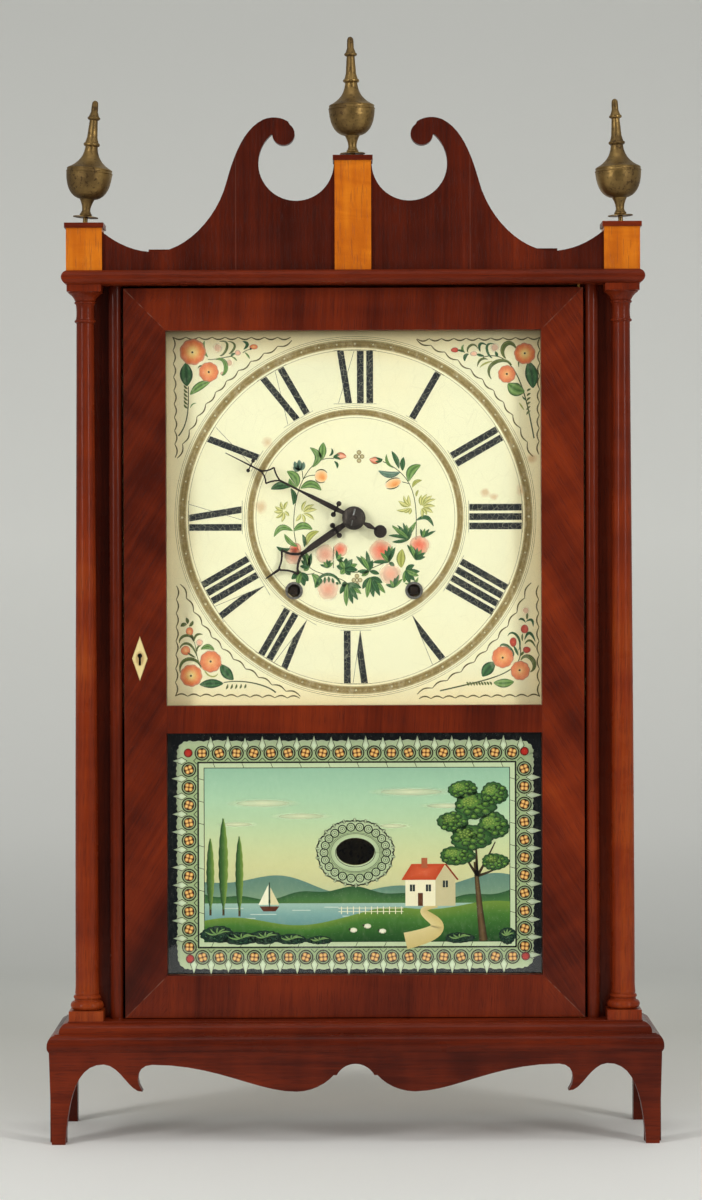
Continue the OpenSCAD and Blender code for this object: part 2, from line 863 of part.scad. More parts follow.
// Cord from the drum up to the pulley and over it
module cord_lead(drum_r, y) {
    a = t1;
    b = [pulley_spot[0], pulley_z - centre_z];
    turn = lead_angle(drum_r);
    p = spot(a, drum_r + cord_r + cord_lift, turn - 90);
    q = spot(b, cord_ride, turn + 90);
    at(p)
    translate([0, y, 0])
    rotate([0, 90 - turn, 0])
    cylinder(r = cord_r, h = norm(q - p));
    at(b)
    translate([0, y, 0])
    rotate([90, 0, 0])
    rotate_extrude(angle = turn + 90)
    translate([cord_ride, 0])
    circle(r = cord_r);
}

module cord_leads() {
    color(flax)
    union() {
        cord_lead(time_drum_r, time_cord_y);
        mirror([1, 0, 0]) cord_lead(strike_drum_r, strike_cord_y);
    }
}

// Forked bracket under the cornice with the pin of a pulley
module pulley_bracket(y) {
    cheek = 2;
    reach = cornice_z - pulley_z;
    gap = pulley_t + 1;
    half = 6;
    translate([pulley_spot[0], y, pulley_z])
    union() {
        for (side = [-1, 1])
            translate([-half, side > 0 ? gap / 2 : -gap / 2 - cheek, -half])
            cube([2 * half, cheek, reach + half]);
        translate([-half, -gap / 2 - lap, pulley_r + pulley_lip + 2])
        cube([2 * half, gap + 2 * lap, reach - pulley_r - pulley_lip - 2]);
        bar(pulley_pin_r, -gap / 2 - lap, gap / 2 + lap);
    }
}

module pulley_brackets() {
    color(iron)
    union() {
        pulley_bracket(time_cord_y);
        mirror([1, 0, 0]) pulley_bracket(strike_cord_y);
    }
}

module pulley(y) {
    r = pulley_r + pulley_lip;
    h = pulley_t / 2;
    translate([pulley_spot[0], y, pulley_z])
    rotate([90, 0, 0])
    rotate_extrude()
    polygon(concat(
        [[pulley_pin_r + run_fit, -h], [r, -h], [r, -cord_r - 1.1]],
        arc([r, 0], pulley_lip, 250, 110, 8),
        [[r, cord_r + 1.1], [r, h], [pulley_pin_r + run_fit, h]]));
}

module time_pulley() {
    color(cherry)
    pulley(time_cord_y);
}

module strike_pulley() {
    color(cherry)
    mirror([1, 0, 0]) pulley(strike_cord_y);
}

// Cast weight with a hook
module weight(y) {
    ring = 3.6;
    wire = 1.4;
    translate([weight_x, y, weight_z])
    union() {
        rotate_extrude()
        polygon(concat(
            [[0, 0], [weight_r - 2, 0], [weight_r, 2]],
            [[weight_r, weight_h - 4], [weight_r - 4, weight_h], [0, weight_h]]));
        cylinder(r = 3, h = weight_h + hook_h - 2 * ring);
        translate([0, 0, weight_h + hook_h - ring - wire])
        rotate([90, 0, 0])
        rotate_extrude()
        translate([ring, 0])
        circle(r = wire);
    }
}

module time_weight() {
    color(iron)
    weight(time_cord_y);
}

module strike_weight() {
    color(iron)
    mirror([1, 0, 0]) weight(strike_cord_y);
}

module cord_fall(y) {
    gap = 0.2;
    translate([weight_x, y, weight_top + gap])
    cylinder(r = cord_r, h = pulley_z - weight_top - gap);
}

module time_cord() {
    color(flax)
    cord_fall(time_cord_y);
}

module strike_cord() {
    color(flax)
    mirror([1, 0, 0]) cord_fall(strike_cord_y);
}

// Keyhole of a given bore from front to back, the slot of the key bit below it
module keyhole(r, slot_w, y0, y1) {
    translate([keyhole_x, 0, bolt_z + 2]) bar(r, y0, y1);
    translate([keyhole_x - slot_w / 2, y0, bolt_z - 5]) cube([slot_w, y1 - y0, 7]);
}

// Way of the bolt through the lock and the edge of the door
module bolt_way(x0, x1) {
    translate([x0, bolt_y - bolt_play, bolt_z - bolt_h / 2 - bolt_play])
    cube([x1 - x0, bolt_t + 2 * bolt_play, bolt_h + 2 * bolt_play]);
}

// Stile of the door with the rebates of both windows cut along its back
module door_stile(side) {
    z_marks = [[tablet_z, tablet_h], [dial_z, dial_h]];
    x0 = side < 0 ? -door_w / 2 : window_half;
    difference() {
        translate([x0, door_y, door_z])
        cube([stile_w, door_t, door_h]);
        for (m = z_marks)
            translate([-window_half - rebate, door_back - rebate, m[0] - rebate])
            cube([window_w + 2 * rebate, rebate + 1, m[1] + 2 * rebate]);
    }
}

module door_stile_left() {
    color(mahogany)
    difference() {
        door_stile(-1);
        translate([lock_x - let_in, door_back - lock_t - let_in, bolt_z - lock_h / 2 - let_in])
        cube([lock_w + 2 * let_in, lock_t + 1, lock_h + 2 * let_in]);
        keyhole(2.2, 2, door_y - 1, door_back - lock_t);
        slab(door_y - 1, 1 + escutcheon_in)
        diamond_plate(let_in);
        bolt_way(-door_w / 2 - 1, lock_x + 1);
    }
}

// Lozenge outline about the keyhole
module diamond_plate(extra) {
    w = escutcheon_w / 2 + extra;
    h = escutcheon_h / 2 + extra * 2;
    translate([keyhole_x, bolt_z])
    polygon([[-w, 0], [0, -h], [w, 0], [0, h]]);
}

module escutcheon() {
    color(ivory)
    difference() {
        slab(door_y - escutcheon_proud, escutcheon_in + escutcheon_proud)
        diamond_plate(0);
        keyhole(1.7, 1.6, door_y - 2, door_y + 2);
    }
}

module lock_case() {
    lid = 1.2;
    color(brass)
    difference() {
        translate([lock_x, door_back - lock_t, bolt_z - lock_h / 2])
        cube([lock_w, lock_t, lock_h]);
        bolt_way(lock_x - 1, lock_x + lock_w - 5);
        keyhole(1.7, 1.6, door_back - lock_t - 1, door_back - lid);
    }
}

// Bolt at rest drawn back inside the door edge
module lock_bolt() {
    color(steel)
    translate([-bolt_rest, bolt_y, bolt_z - bolt_h / 2])
    cube([lock_w - 8, bolt_t, bolt_h]);
}

module door_stile_right() {
    color(mahogany)
    difference() {
        door_stile(1);
        for (up = [-1, 1])
            door_leaf(up, let_in, lap);
    }
}

// Hinge leaf let into the end of the door stile
module door_leaf(up, extra, over) {
    translate([hinge_x, hinge_y, up > 0 ? door_top : door_z])
    mirror([0, 0, up > 0 ? 1 : 0])
    translate([leaf_end - leaf_l - extra, -leaf_w / 2 - extra, -over])
    cube([leaf_l + 2 * extra, leaf_w + 2 * extra, leaf_t + over + extra / 2]);
}

module door_hinge_pins() {
    color(brass)
    for (up = [-1, 1])
        union() {
            door_leaf(up, 0, 0);
            translate([hinge_x, hinge_y, up > 0 ? door_top : door_z])
            mirror([0, 0, up > 0 ? 0 : 1])
            translate([0, 0, -0.5])
            cylinder(r = hinge_pin_r, h = 0.5 + pin_reach + (up > 0 ? door_gap_top : door_gap_low));
        }
}

module door_rail(z, h, lap_low, lap_high) {
    difference() {
        translate([-window_half, door_y, z])
        cube([window_w, door_t, h]);
        if (lap_low)
            translate([-window_half - 1, door_back - rebate, z - 1])
            cube([window_w + 2, rebate + 1, rebate + 1]);
        if (lap_high)
            translate([-window_half - 1, door_back - rebate, z + h - rebate])
            cube([window_w + 2, rebate + 1, rebate + 1]);
    }
}

module door_rails() {
    color(mahogany)
    union() {
        door_rail(door_z, rail_low_h, false, true);
        door_rail(tablet_z + tablet_h, rail_mid_h, true, true);
        door_rail(dial_z + dial_h, rail_top_h, true, false);
    }
}

// Pane in its rebate
module pane(z, h) {
    translate([-window_half - glass_lap, door_back - rebate, z - glass_lap])
    cube([window_w + 2 * glass_lap, glass_t, h + 2 * glass_lap]);
}

module dial_glass() {
    color(glass)
    pane(dial_z, dial_h);
}

module tablet_glass() {
    color([0.4, 0.6, 0.45, 0.9])
    pane(tablet_z, tablet_h);
}

// Four strips behind each pane
module pane_strips(z, h) {
    w = window_w + 2 * glass_lap;
    t = rebate - glass_t - strip_in;
    y = door_back - rebate + glass_t;
    for (side = [-1, 1]) {
        translate([side < 0 ? -w / 2 : w / 2 - glass_lap, y, z])
        cube([glass_lap, t, h]);
        translate([-w / 2, y, side < 0 ? z - glass_lap : z + h])
        cube([w, t, glass_lap]);
    }
}

module glazing_strips() {
    color(pine)
    union() {
        pane_strips(tablet_z, tablet_h);
        pane_strips(dial_z, dial_h);
    }
}

// Point between two corners of a diamond, drawn in towards its middle
function hollow(p, q, mid) = (p + q) * 0.275 + mid * 0.45;

function diamond_points(near, middle, far, half) =
    let (a = [near, 0], b = [middle, half], c = [far, 0], d = [middle, -half], m = [middle, 0])
    concat(bend(a, hollow(a, b, m), b), bend(b, hollow(b, c, m), c),
        bend(c, hollow(c, d, m), d), bend(d, hollow(d, a, m), a));

// Open diamond with hollow sides, from near to far along a hand
module open_diamond(near, middle, far, half, line) {
    difference() {
        polygon(diamond_points(near, middle, far, half));
        polygon(diamond_points(near + 2.2 * line, middle, far - 2.2 * line, half - 1.5 * line));
    }
}

module taper(x0, half0, x1, half1) {
    polygon([[x0, -half0], [x1, -half1], [x1, half1], [x0, half0]]);
}

module disc(x, r) {
    translate([x, 0]) circle(r = r);
}

module pair_of_discs(x, side, r) {
    translate([x, side]) circle(r = r);
    translate([x, -side]) circle(r = r);
}

// Flat hand cut from the outlines of its children, which point along X
module hand(y, angle, bore) {
    color(blued)
    at(t2)
    rotate([0, -angle, 0])
    difference() {
        for (i = [0:$children - 1])
            slab(y, hand_t)
            children(i);
        bar(bore, y - 1, y + hand_t + 1);
    }
}

module minute_hand() {
    hand(minute_hand_y, minute_angle, pipe_r + run_fit) {
        disc(0, 7.5);
        taper(-21, 1.2, 0, 1.6);
        taper(0, 1.7, 57.5, 0.9);
        open_diamond(54.5, 65, 75.5, 5.6, 1.1);
        taper(72.5, 0.9, minute_len, 0.35);
        pair_of_discs(14.6, 2.8, 2.1);
        disc(18.6, 2.4);
        pair_of_discs(82.2, 1.3, 1.5);
        disc(-12.8, 3.1);
        disc(-21.6, 4.6);
    }
}

module hour_hand() {
    hand(hour_hand_y, hour_angle, hour_pipe_r + run_fit) {
        disc(0, 8.5);
        taper(0, 2.2, hour_len - 36.5, 1.2);
        open_diamond(hour_len - 39, hour_len - 20, hour_len - 1.5, 11.2, 1.3);
        taper(hour_len - 4, 1, hour_len, 0.4);
        pair_of_discs(15.7, 3.6, 2.3);
        disc(19.6, 2.8);
    }
}

module gear(n, m, share, phase, y, t, bore) {
    difference() {
        slab(y, t)
        polygon(gear_points(n, m, share, phase));
        if (bore > 0)
            bar(bore, y - 1, y + t + 1);
    }
}

// Cannon pinion with the pipe that carries the minute hand
module cannon_pinion() {
    color(cherry)
    at(t2)
    difference() {
        union() {
            gear(cannon_n, cannon_m, leaf_share, 90, cannon_y, thin_t, 0);
            bar(pipe_r, minute_hand_y - 0.8, cannon_y + lap);
        }
        bar(arbor_front_r + run_fit, minute_hand_y - 2, cannon_y + thin_t + 1);
    }
}

// Minute wheel and its pinion on the stud of the front plate
module minute_wheel() {
    phase = -90 + 180 / minute_n;
    color(cherry)
    at(minute_spot)
    difference() {
        union() {
            gear(minute_n, cannon_m, tooth_share, phase, cannon_y, thin_t, 0);
            gear(cannon_n, hour_m, leaf_share, -90, hour_y + 0.5, cannon_y - hour_y - 0.5 + lap, 0);
        }
        bar(stud_r + run_fit, hour_y - 1, cannon_y + thin_t + 1);
    }
}

module hour_wheel() {
    phase = 90 + 180 / hour_n;
    color(cherry)
    at(t2)
    difference() {
        union() {
            gear(hour_n, hour_m, tooth_share, phase, hour_y, thin_t, 0);
            bar(hour_pipe_r, hour_hand_y - 0.3, hour_y + lap);
        }
        bar(pipe_r + run_fit, hour_hand_y - 2, hour_y + thin_t + 1);
    }
}

// Arbor between the plates with a pivot in each
module arbor() {
    bar(arbor_r, works_y + shake, back_plate_y - shake);
    bar(pivot_r, front_plate_y, works_back);
}

// Wheel that turns free on its winding arbor and carries the click pin
module great_wheel(n, phase, y, click_side, pin_at) {
    pin_y = click_side > 0 ? [y + wheel_t - lap, y + wheel_t + shake + ratchet_t]
        : [y - shake - ratchet_t, y + lap];
    difference() {
        union() {
            gear(n, great_m, tooth_share, phase, y, wheel_t, 0);
            rotate([0, -pin_at, 0])
            translate([click_far, 0, 0])
            bar(click_pin_r, pin_y[0], pin_y[1]);
        }
        bar(winding_arbor_r + run_fit, y - 1, y + wheel_t + 1);
    }
}

module time_great_wheel() {
    phase = aim(t1, t2);
    color(cherry)
    at(t1)
    great_wheel(great_n, phase, time_great_y, 1, time_click_at);
}

// Striking great wheel with the notched count ring on its back face
module strike_great_wheel() {
    phase = aim(s1, s2);
    blows = 78;
    notch = 360 / blows;
    ring_out = 47;
    ring_in = 36;
    ring_t = 1;
    y = strike_great_y + wheel_t;
    color(cherry)
    at(s1)
    union() {
        great_wheel(strike_great_n, phase, strike_great_y, -1, strike_click_at);
        slab(y - lap, ring_t + lap)
        difference() {
            circle(r = ring_out);
            circle(r = ring_in);
            for (h = [1:12])
                rotate(notch * (h * (h + 1) / 2))
                translate([ring_out - 4, -1])
                square([5, 2]);
        }
    }
}

// Winding arbor with its drum and ratchet; the squared end shows in the dial
module winding_drum(r, ratchet_y, drum_y, flange_y, ratchet_side, phase) {
    flange = 1;
    bar(winding_arbor_r, front_plate_y - 2, back_plate_y - shake);
    bar(pivot_r, back_plate_y - shake - lap, works_back);
    translate([-square_w / 2, dial_y - 1.2, -square_w / 2])
    cube([square_w, front_plate_y - 2 - dial_y + 1.2 + lap, square_w]);
    bar(r, drum_y, drum_y + drum_t);
    bar(r + 2.2, flange_y, flange_y + flange);
    slab(ratchet_y, ratchet_t)
    mirror([ratchet_side < 0 ? 1 : 0, 0])
    rotate(phase)
    polygon([for (i = [0:ratchet_n - 1], k = [0:1])
        spot([0, 0], k == 0 ? ratchet_r - 2.8 : ratchet_r, 360 / ratchet_n * (i + k * 0.85))]);
}

module time_drum() {
    color(cherry)
    at(t1)
    winding_drum(time_drum_r, time_ratchet_y, time_drum_y, time_drum_y + drum_t - 1, 1,
        time_click_at - click_turn - time_ratchet_lead);
}

module strike_drum() {
    color(cherry)
    at(s1)
    winding_drum(strike_drum_r, strike_ratchet_y, strike_drum_y, strike_drum_y, -1,
        180 - strike_click_at - click_turn - strike_ratchet_lead);
}

// Click on the pin of its great wheel, its nose just clear of the ratchet
module click(y, pin_at, side) {
    tip = spot([0, 0], ratchet_r + click_clear, -click_turn);
    pin = [click_far, 0];
    a = aim(pin, tip);
    difference() {
        slab(y + 0.15, ratchet_t - 0.3)
        mirror([side < 0 ? 1 : 0, 0])
        rotate(side < 0 ? 180 - pin_at : pin_at)
        union() {
            translate(pin) circle(r = 3);
            polygon([spot(pin, 2.6, a + 90), spot(pin, 2.6, a - 90), tip, spot(tip, 2.2, a + 120)]);
        }
        rotate([0, -pin_at, 0])
        translate([click_far, 0, 0])
        bar(click_pin_r + run_fit, y - 1, y + ratchet_t + 1);
    }
}

module time_click() {
    color(steel)
    at(t1)
    click(time_ratchet_y, time_click_at, 1);
}

module strike_click() {
    color(steel)
    at(s1)
    click(strike_ratchet_y, strike_click_at, -1);
}

// Centre arbor runs forward through the cannon pipe
module centre_wheel() {
    color(cherry)
    at(t2)
    union() {
        gear(leaf_n, great_m, leaf_share, aim(t2, t1) + 180 / leaf_n,
            time_great_y - 0.5, wheel_t + 1, 0);
        gear(wheel_n, third_m, tooth_share, aim(t2, t3), centre_wheel_y, thin_t, 0);
        bar(arbor_r, works_y + shake, back_plate_y - shake);
        bar(pivot_r, back_plate_y - shake - lap, works_back);
        bar(arbor_front_r, minute_hand_y - 1.4, works_y + shake + lap);
    }
}

module third_wheel() {
    color(cherry)
    at(t3)
    union() {
        gear(leaf_n, third_m, leaf_share, aim(t3, t2) + 180 / leaf_n,
            centre_wheel_y - 0.5, thin_t + 1, 0);
        gear(wheel_n, fourth_m, tooth_share, aim(t3, t4), third_wheel_y, thin_t, 0);
        arbor();
    }
}

// Brass escape wheel with raked teeth and five arms
module escape_wheel() {
    tooth_h = 2.8;
    rim = 2;
    step = 360 / escape_n;
    root = escape_r - tooth_h;
    arms = 5;
    color(brass)
    at(t4)
    union() {
        slab(escape_y, escape_t)
        union() {
            difference() {
                polygon([for (i = [0:escape_n - 1], k = [0:2])
                    spot([0, 0], k == 1 ? escape_r : root, step * (i + [0, 0.08, 0.5][k]))]);
                circle(r = root - rim);
            }
            circle(r = 4);
            for (i = [0:arms - 1])
                rotate(360 / arms * i)
                translate([0, -0.9])
                square([root - rim + 0.4, 1.8]);
        }
        gear(fly_leaf_n, fourth_m, leaf_share, aim(t4, t3) + 180 / fly_leaf_n,
            third_wheel_y - 0.5, thin_t + 1, 0);
        bar(arbor_slim, works_y + shake, back_plate_y - shake);
        bar(pivot_r, front_plate_y, works_back);
    }
}

// Pin wheel: its pins lift the hammer tail
module pin_wheel() {
    color(cherry)
    at(s2)
    union() {
        gear(leaf_n, great_m, leaf_share, aim(s2, s1) + 180 / leaf_n,
            strike_great_y - 0.5, wheel_t + 1, 0);
        gear(wheel_n, fourth_m, tooth_share, aim(s2, s3), pin_wheel_y, thin_t, 0);
        for (i = [0:pin_n - 1])
            rotate([0, -360 / pin_n * (i + 0.5), 0])
            translate([pin_ring, 0, 0])
            bar(pin_r, pin_wheel_y + thin_t - lap, pin_wheel_y + thin_t + 2);
        arbor();
    }
}

module warning_wheel() {
    color(cherry)
    at(s3)
    union() {
        gear(fly_leaf_n, fourth_m, leaf_share, aim(s3, s2) + 180 / fly_leaf_n,
            pin_wheel_y - 0.5, thin_t + 1, 0);
        gear(warning_n, warning_m, tooth_share, aim(s3, s4), warning_y, thin_t, 0);
        bar(arbor_slim, works_y + shake, back_plate_y - shake);
        bar(pivot_r, front_plate_y, works_back);
    }
}

// Two-vaned fly that paces the striking
module fly() {
    vane = 14;
    color(cherry)
    at(s4)
    union() {
        gear(fly_leaf_n, warning_m, leaf_share, aim(s4, s3) + 180 / fly_leaf_n,
            warning_y - 0.5, thin_t + 1, 0);
        translate([-vane, fly_y, -0.6])
        cube([2 * vane, fly_d, 1.2]);
        bar(fly_hub, fly_y, fly_y + fly_d);
        bar(fly_slim, works_y + shake, back_plate_y - shake);
        bar(pivot_r, front_plate_y, works_back);
    }
}

// Anchor between the plates and the crutch behind them, on one arbor
module verge() {
    nib = [0.6435 * escape_r, -0.392 * escape_r];
    k = escape_r / 20;
    color(steel)
    at(verge_spot)
    union() {
        slab(escape_y - 0.3, escape_t + 0.6)
        union() {
            circle(r = 3);
            for (side = [-1, 1])
                polygon([[0, 2.6], [side * 13.5 * k, -4.2 * k], [side * 14.6 * k, -7.3 * k],
                    [side * nib[0], nib[1]], [side * 11.4 * k, -5.2 * k], [0, -2.2]]);
        }
        bar(arbor_slim, works_y + shake, back_plate_y - shake);
        bar(pivot_r, front_plate_y, crutch_y + crutch_t);
        slab(crutch_y, crutch_t)
        union() {
            circle(r = 2.4);
            translate([-1, -crutch_len])
            square([2, crutch_len]);
            translate([-rod_r - 1.8, -crutch_len - 2])
            square([2 * rod_r + 3.6, 3]);
        }
        for (side = [-1, 1])
            translate([side * (rod_r + 1.1) - 0.7, crutch_y + 0.1, -crutch_len - 2])
            cube([1.4, rod_y - crutch_y + rod_r + 0.5, 3]);
    }
}

// Lens-shaped bob about its own centre, facing front
module bob() {
    h = bob_t / 2;
    edge = 0.6;
    rotate([90, 0, 0])
    rotate_extrude()
    polygon([[0, -h], [bob_r * 0.4, -h * 0.94], [bob_r * 0.7, -h * 0.76], [bob_r, -edge],
        [bob_r, edge], [bob_r * 0.7, h * 0.76], [bob_r * 0.4, h * 0.94], [0, h]]);
}

// Rod with its eye on the cock pin, and the bob with the nut that holds it up
module pendulum() {
    pivot_z = centre_z + verge_spot[1];
    drop = pivot_z - bob_z;
    eye_r = rod_r + 1.7;
    tail = 7;
    nut_h = 4;
    color(old_brass)
    translate([0, rod_y, pivot_z])
    union() {
        difference() {
            bar(eye_r, -eye_t / 2, eye_t / 2);
            bar(rod_r + run_fit, -eye_t, eye_t);
        }
        translate([0, 0, -drop])
        cylinder(r = rod_slim, h = drop - rod_r - 0.6);
        translate([0, 0, -drop])
        bob();
        translate([0, 0, -drop - bob_r - tail])
        cylinder(r = rod_slim, h = tail + 4);
        translate([0, 0, -drop - bob_r - nut_h - 0.5])
        cylinder(r = 3, h = nut_h);
    }
}

// Hammer with a head beside the bell and a short tail at the pins
module hammer() {
    head_r = 5;
    head_gap = 0.6;
    head_l = 11;
    stem = 1.6;
    rise = bell_spot[1] - hammer_spot[1];
    head_x = bell_spot[0] - hammer_spot[0] - bell_r - head_gap - head_l;
    tail = norm(s2 - hammer_spot) - pin_ring - pin_r - 0.4;
    color(steel)
    at(hammer_spot)
    union() {
        bar(arbor_slim, works_y + shake, back_plate_y - shake);
        bar(pivot_r, front_plate_y, works_back);
        slab(hammer_y, thin_t)
        union() {
            circle(r = 3.4);
            polygon([[-stem, 0], [stem, 0], [head_x + head_l / 2 + stem, rise],
                [head_x + head_l / 2 - stem, rise]]);
        }
        translate([head_x, works_y + 16, rise])
        rotate([0, 90, 0])
        cylinder(r = head_r, h = head_l);
        slab(pin_wheel_y + thin_t + 0.3, 1.6)
        rotate(aim(hammer_spot, s2))
        union() {
            circle(r = 3);
            polygon([[0, -1.5], [tail, -0.8], [tail, 0.8], [0, 1.5]]);
        }
    }
}

case_sides();
back_board();
cornice();
base_moulding();
front_apron();
side_aprons();
front_stiles();
crest_scrolls();
glue_blocks();
plinths();
plinth_caps();
finials();
pillars();
dial_board();
winding_bushes();
case_hinge_leaves();
movement_rails();
front_plate();
back_plate();
plate_posts();
suspension_cock();
bell();
cord_leads();
pulley_brackets();
door_stile_left();
door_stile_right();
door_rails();
dial_glass();
tablet_glass();
glazing_strips();
escutcheon();
lock_case();
door_hinge_pins();
lock_bolt();
minute_hand();
cannon_pinion();
minute_wheel();
hour_hand();
hour_wheel();
time_great_wheel();
centre_wheel();
third_wheel();
escape_wheel();
time_drum();
time_click();
strike_great_wheel();
pin_wheel();
warning_wheel();
fly();
strike_drum();
strike_click();
verge();
pendulum();
hammer();
time_weight();
strike_weight();
time_cord();
strike_cord();
time_pulley();
strike_pulley();
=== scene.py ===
import bpy
import math
import numpy as np
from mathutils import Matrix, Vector


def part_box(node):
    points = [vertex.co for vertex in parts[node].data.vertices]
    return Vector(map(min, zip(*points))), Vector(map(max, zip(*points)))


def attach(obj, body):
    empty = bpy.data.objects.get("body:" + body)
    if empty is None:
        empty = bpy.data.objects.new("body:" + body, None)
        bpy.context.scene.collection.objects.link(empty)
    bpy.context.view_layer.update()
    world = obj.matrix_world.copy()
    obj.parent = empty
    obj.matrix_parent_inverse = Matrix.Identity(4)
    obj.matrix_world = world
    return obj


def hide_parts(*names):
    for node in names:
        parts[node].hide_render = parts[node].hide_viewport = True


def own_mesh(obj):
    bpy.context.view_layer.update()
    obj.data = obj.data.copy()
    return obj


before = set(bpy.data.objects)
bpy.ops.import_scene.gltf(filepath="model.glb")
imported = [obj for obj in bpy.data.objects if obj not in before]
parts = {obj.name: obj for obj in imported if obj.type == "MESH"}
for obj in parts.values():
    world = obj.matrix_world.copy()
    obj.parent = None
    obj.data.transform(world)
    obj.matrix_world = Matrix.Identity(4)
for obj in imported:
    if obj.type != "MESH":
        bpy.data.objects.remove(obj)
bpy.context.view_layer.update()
scene = bpy.context.scene
print("frame loaded with", len(parts), "nodes")

# Height of the lens, and the planes and the middle that the painted work is laid on, in metres
eyeHeight = 0.406
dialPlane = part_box("dial_board")[0].y
dialMiddle = sum(corner.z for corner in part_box("hour_wheel")) / 2
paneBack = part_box("tablet_glass")[1].y


# Hex code of a colour as it looks on screen, as linear red, green, blue and alpha
def tint(code, alpha=1.0):
    rgb = np.array([int(code[i:i + 2], 16) for i in (1, 3, 5)]) / 255
    low = rgb / 12.92
    high = ((rgb + 0.055) / 1.055) ** 2.4
    return np.append(np.where(rgb <= 0.04045, low, high), alpha)


# Colours in one string: hex codes, each with its cover after a slash where that isn't whole
def tints(codes):
    words = (word.partition("/") for word in codes.split())
    return [tint(code, float(cover or 1)) for code, slash, cover in words]


# Colours of a painted shape: a string of codes is read, and one colour alone stands twice
def paints(colors):
    colors = tints(colors) if isinstance(colors, str) else colors
    return colors * 2 if len(colors) == 1 else colors


# A node socket that takes part in Python sums: each sum adds one Math node
class Wire:
    def __init__(self, finish, socket):
        self.finish = finish
        self.socket = socket

    def sum(self, operation, *others):
        values = {i: v for i, v in enumerate((self,) + others)}
        return self.finish.add("Math", {"operation": operation}, values)

    def turnedSum(self, operation, other):
        return self.finish.add("Math", {"operation": operation}, {0: other, 1: self})

    def __add__(self, other):
        return self.sum("ADD", other)

    def __radd__(self, other):
        return self.turnedSum("ADD", other)

    def __sub__(self, other):
        return self.sum("SUBTRACT", other)

    def __rsub__(self, other):
        return self.turnedSum("SUBTRACT", other)

    def __mul__(self, other):
        return self.sum("MULTIPLY", other)

    def __rmul__(self, other):
        return self.turnedSum("MULTIPLY", other)

    def __truediv__(self, other):
        return self.sum("DIVIDE", other)

    def __rtruediv__(self, other):
        return self.turnedSum("DIVIDE", other)

    def __pow__(self, other):
        return self.sum("POWER", other)

    def __abs__(self):
        return self.sum("ABSOLUTE")

    # 1 where this is over the limit, 0 where it is under, softened over the given width
    def over(self, limit, soft):
        return ((self - limit) / soft + 0.5).held()

    def held(self):
        return self.finish.add("Clamp", {}, {0: self})


# A material and the few ways in which its nodes are added
class Finish:
    def __init__(self, name, owner=None):
        self.material = owner or bpy.data.materials.new(name)
        self.material.use_nodes = True
        self.tree = self.material.node_tree
        self.tree.nodes.clear()

    def add(self, kind, settings, values, output=0):
        node = self.tree.nodes.new("ShaderNode" + kind)
        for key, value in settings.items():
            if key == "stops":
                band = node.color_ramp.elements
                while len(band) < len(value):
                    band.new(0.5)
                for stop, (at, color) in zip(band, value):
                    stop.position = at
                    stop.color = color
            else:
                setattr(node, key, value)
        for key, value in values.items():
            if isinstance(value, Wire):
                self.tree.links.new(value.socket, node.inputs[key])
            else:
                node.inputs[key].default_value = value
        return Wire(self, node.outputs[output]) if len(node.outputs) else None

    def place(self):
        return self.add("TexCoord", {}, {}, "Object")

    # Object place turned so that its X runs along the given direction, and moved by the seed
    def along(self, direction, seed):
        turn = Vector(direction).rotation_difference(Vector((1, 0, 0))).to_euler()
        shift = (seed, seed * 0.7, seed * 1.3)
        return self.add("Mapping", {}, {"Vector": self.place(), "Location": shift, "Rotation": turn})

    def stretch(self, place, factors):
        return self.add("VectorMath", {"operation": "MULTIPLY"}, {0: place, 1: factors})

    def noise(self, place, scale, detail=2.0, rough=0.5, bend=0.0):
        values = {"Vector": place, "Scale": scale, "Detail": detail, "Roughness": rough, "Distortion": bend}
        return self.add("TexNoise", {}, values, "Fac")

    def cracks(self, place, scale):
        edges = {"feature": "DISTANCE_TO_EDGE"}
        return self.add("TexVoronoi", edges, {"Vector": place, "Scale": scale}, "Distance")

    def part(self, place, axis):
        return self.add("SeparateXYZ", {}, {0: place}, axis)

    def ramp(self, value, stops):
        return self.add("ValToRGB", {"stops": [(s, tint(c)) for s, c in stops]}, {0: value})

    def blend(self, factor, a, b):
        return self.add("Mix", {"data_type": "RGBA"}, {0: factor, 6: a, 7: b}, 2)

    def bump(self, height, depth):
        return self.add("Bump", {}, {"Height": height, "Distance": depth, "Strength": 1.0})

    def shade(self, values):
        return self.add("BsdfPrincipled", {}, values)

    def show(self, shader):
        self.add("OutputMaterial", {}, {"Surface": shader})
        return self.material

    # The whole material: colour, roughness, relief of the given depth, and other sockets by name
    def surface(self, color, rough, height, depth, others):
        relief = self.bump(height, depth)
        return self.show(self.shade({"Base Color": color, "Roughness": rough, "Normal": relief, **others}))


mahoganyTones = [(0.0, "#300E06"), (0.28, "#4A1609"), (0.5, "#69230E"), (0.72, "#832F11"), (1.0, "#A0471A")]


# Mahogany colour at a place: broad soft bands, long fibres and cross figure along its X
def mahoganyGrain(f, place, tone, figure):
    stripe = f.noise(f.stretch(place, (0.05, 1, 1)), 26, 3, 0.55, 0.4)
    fibre = f.noise(f.stretch(place, (0.03, 1, 1)), 560, 2)
    cloud = f.noise(f.stretch(place, (0.3, 1, 1)), 13, 2)
    flame = f.noise(f.stretch(place, (1, 0.25, 0.25)), 40, 2)
    value = (stripe - 0.5) * 0.9 + (fibre - 0.5) * 0.28 + (cloud - 0.5) * 0.75
    return f.ramp(value + (flame - 0.5) * figure + tone, mahoganyTones)


def poresOf(f, place):
    return f.noise(f.stretch(place, (0.05, 1, 1)), 1500, 1).over(0.62, 0.1)


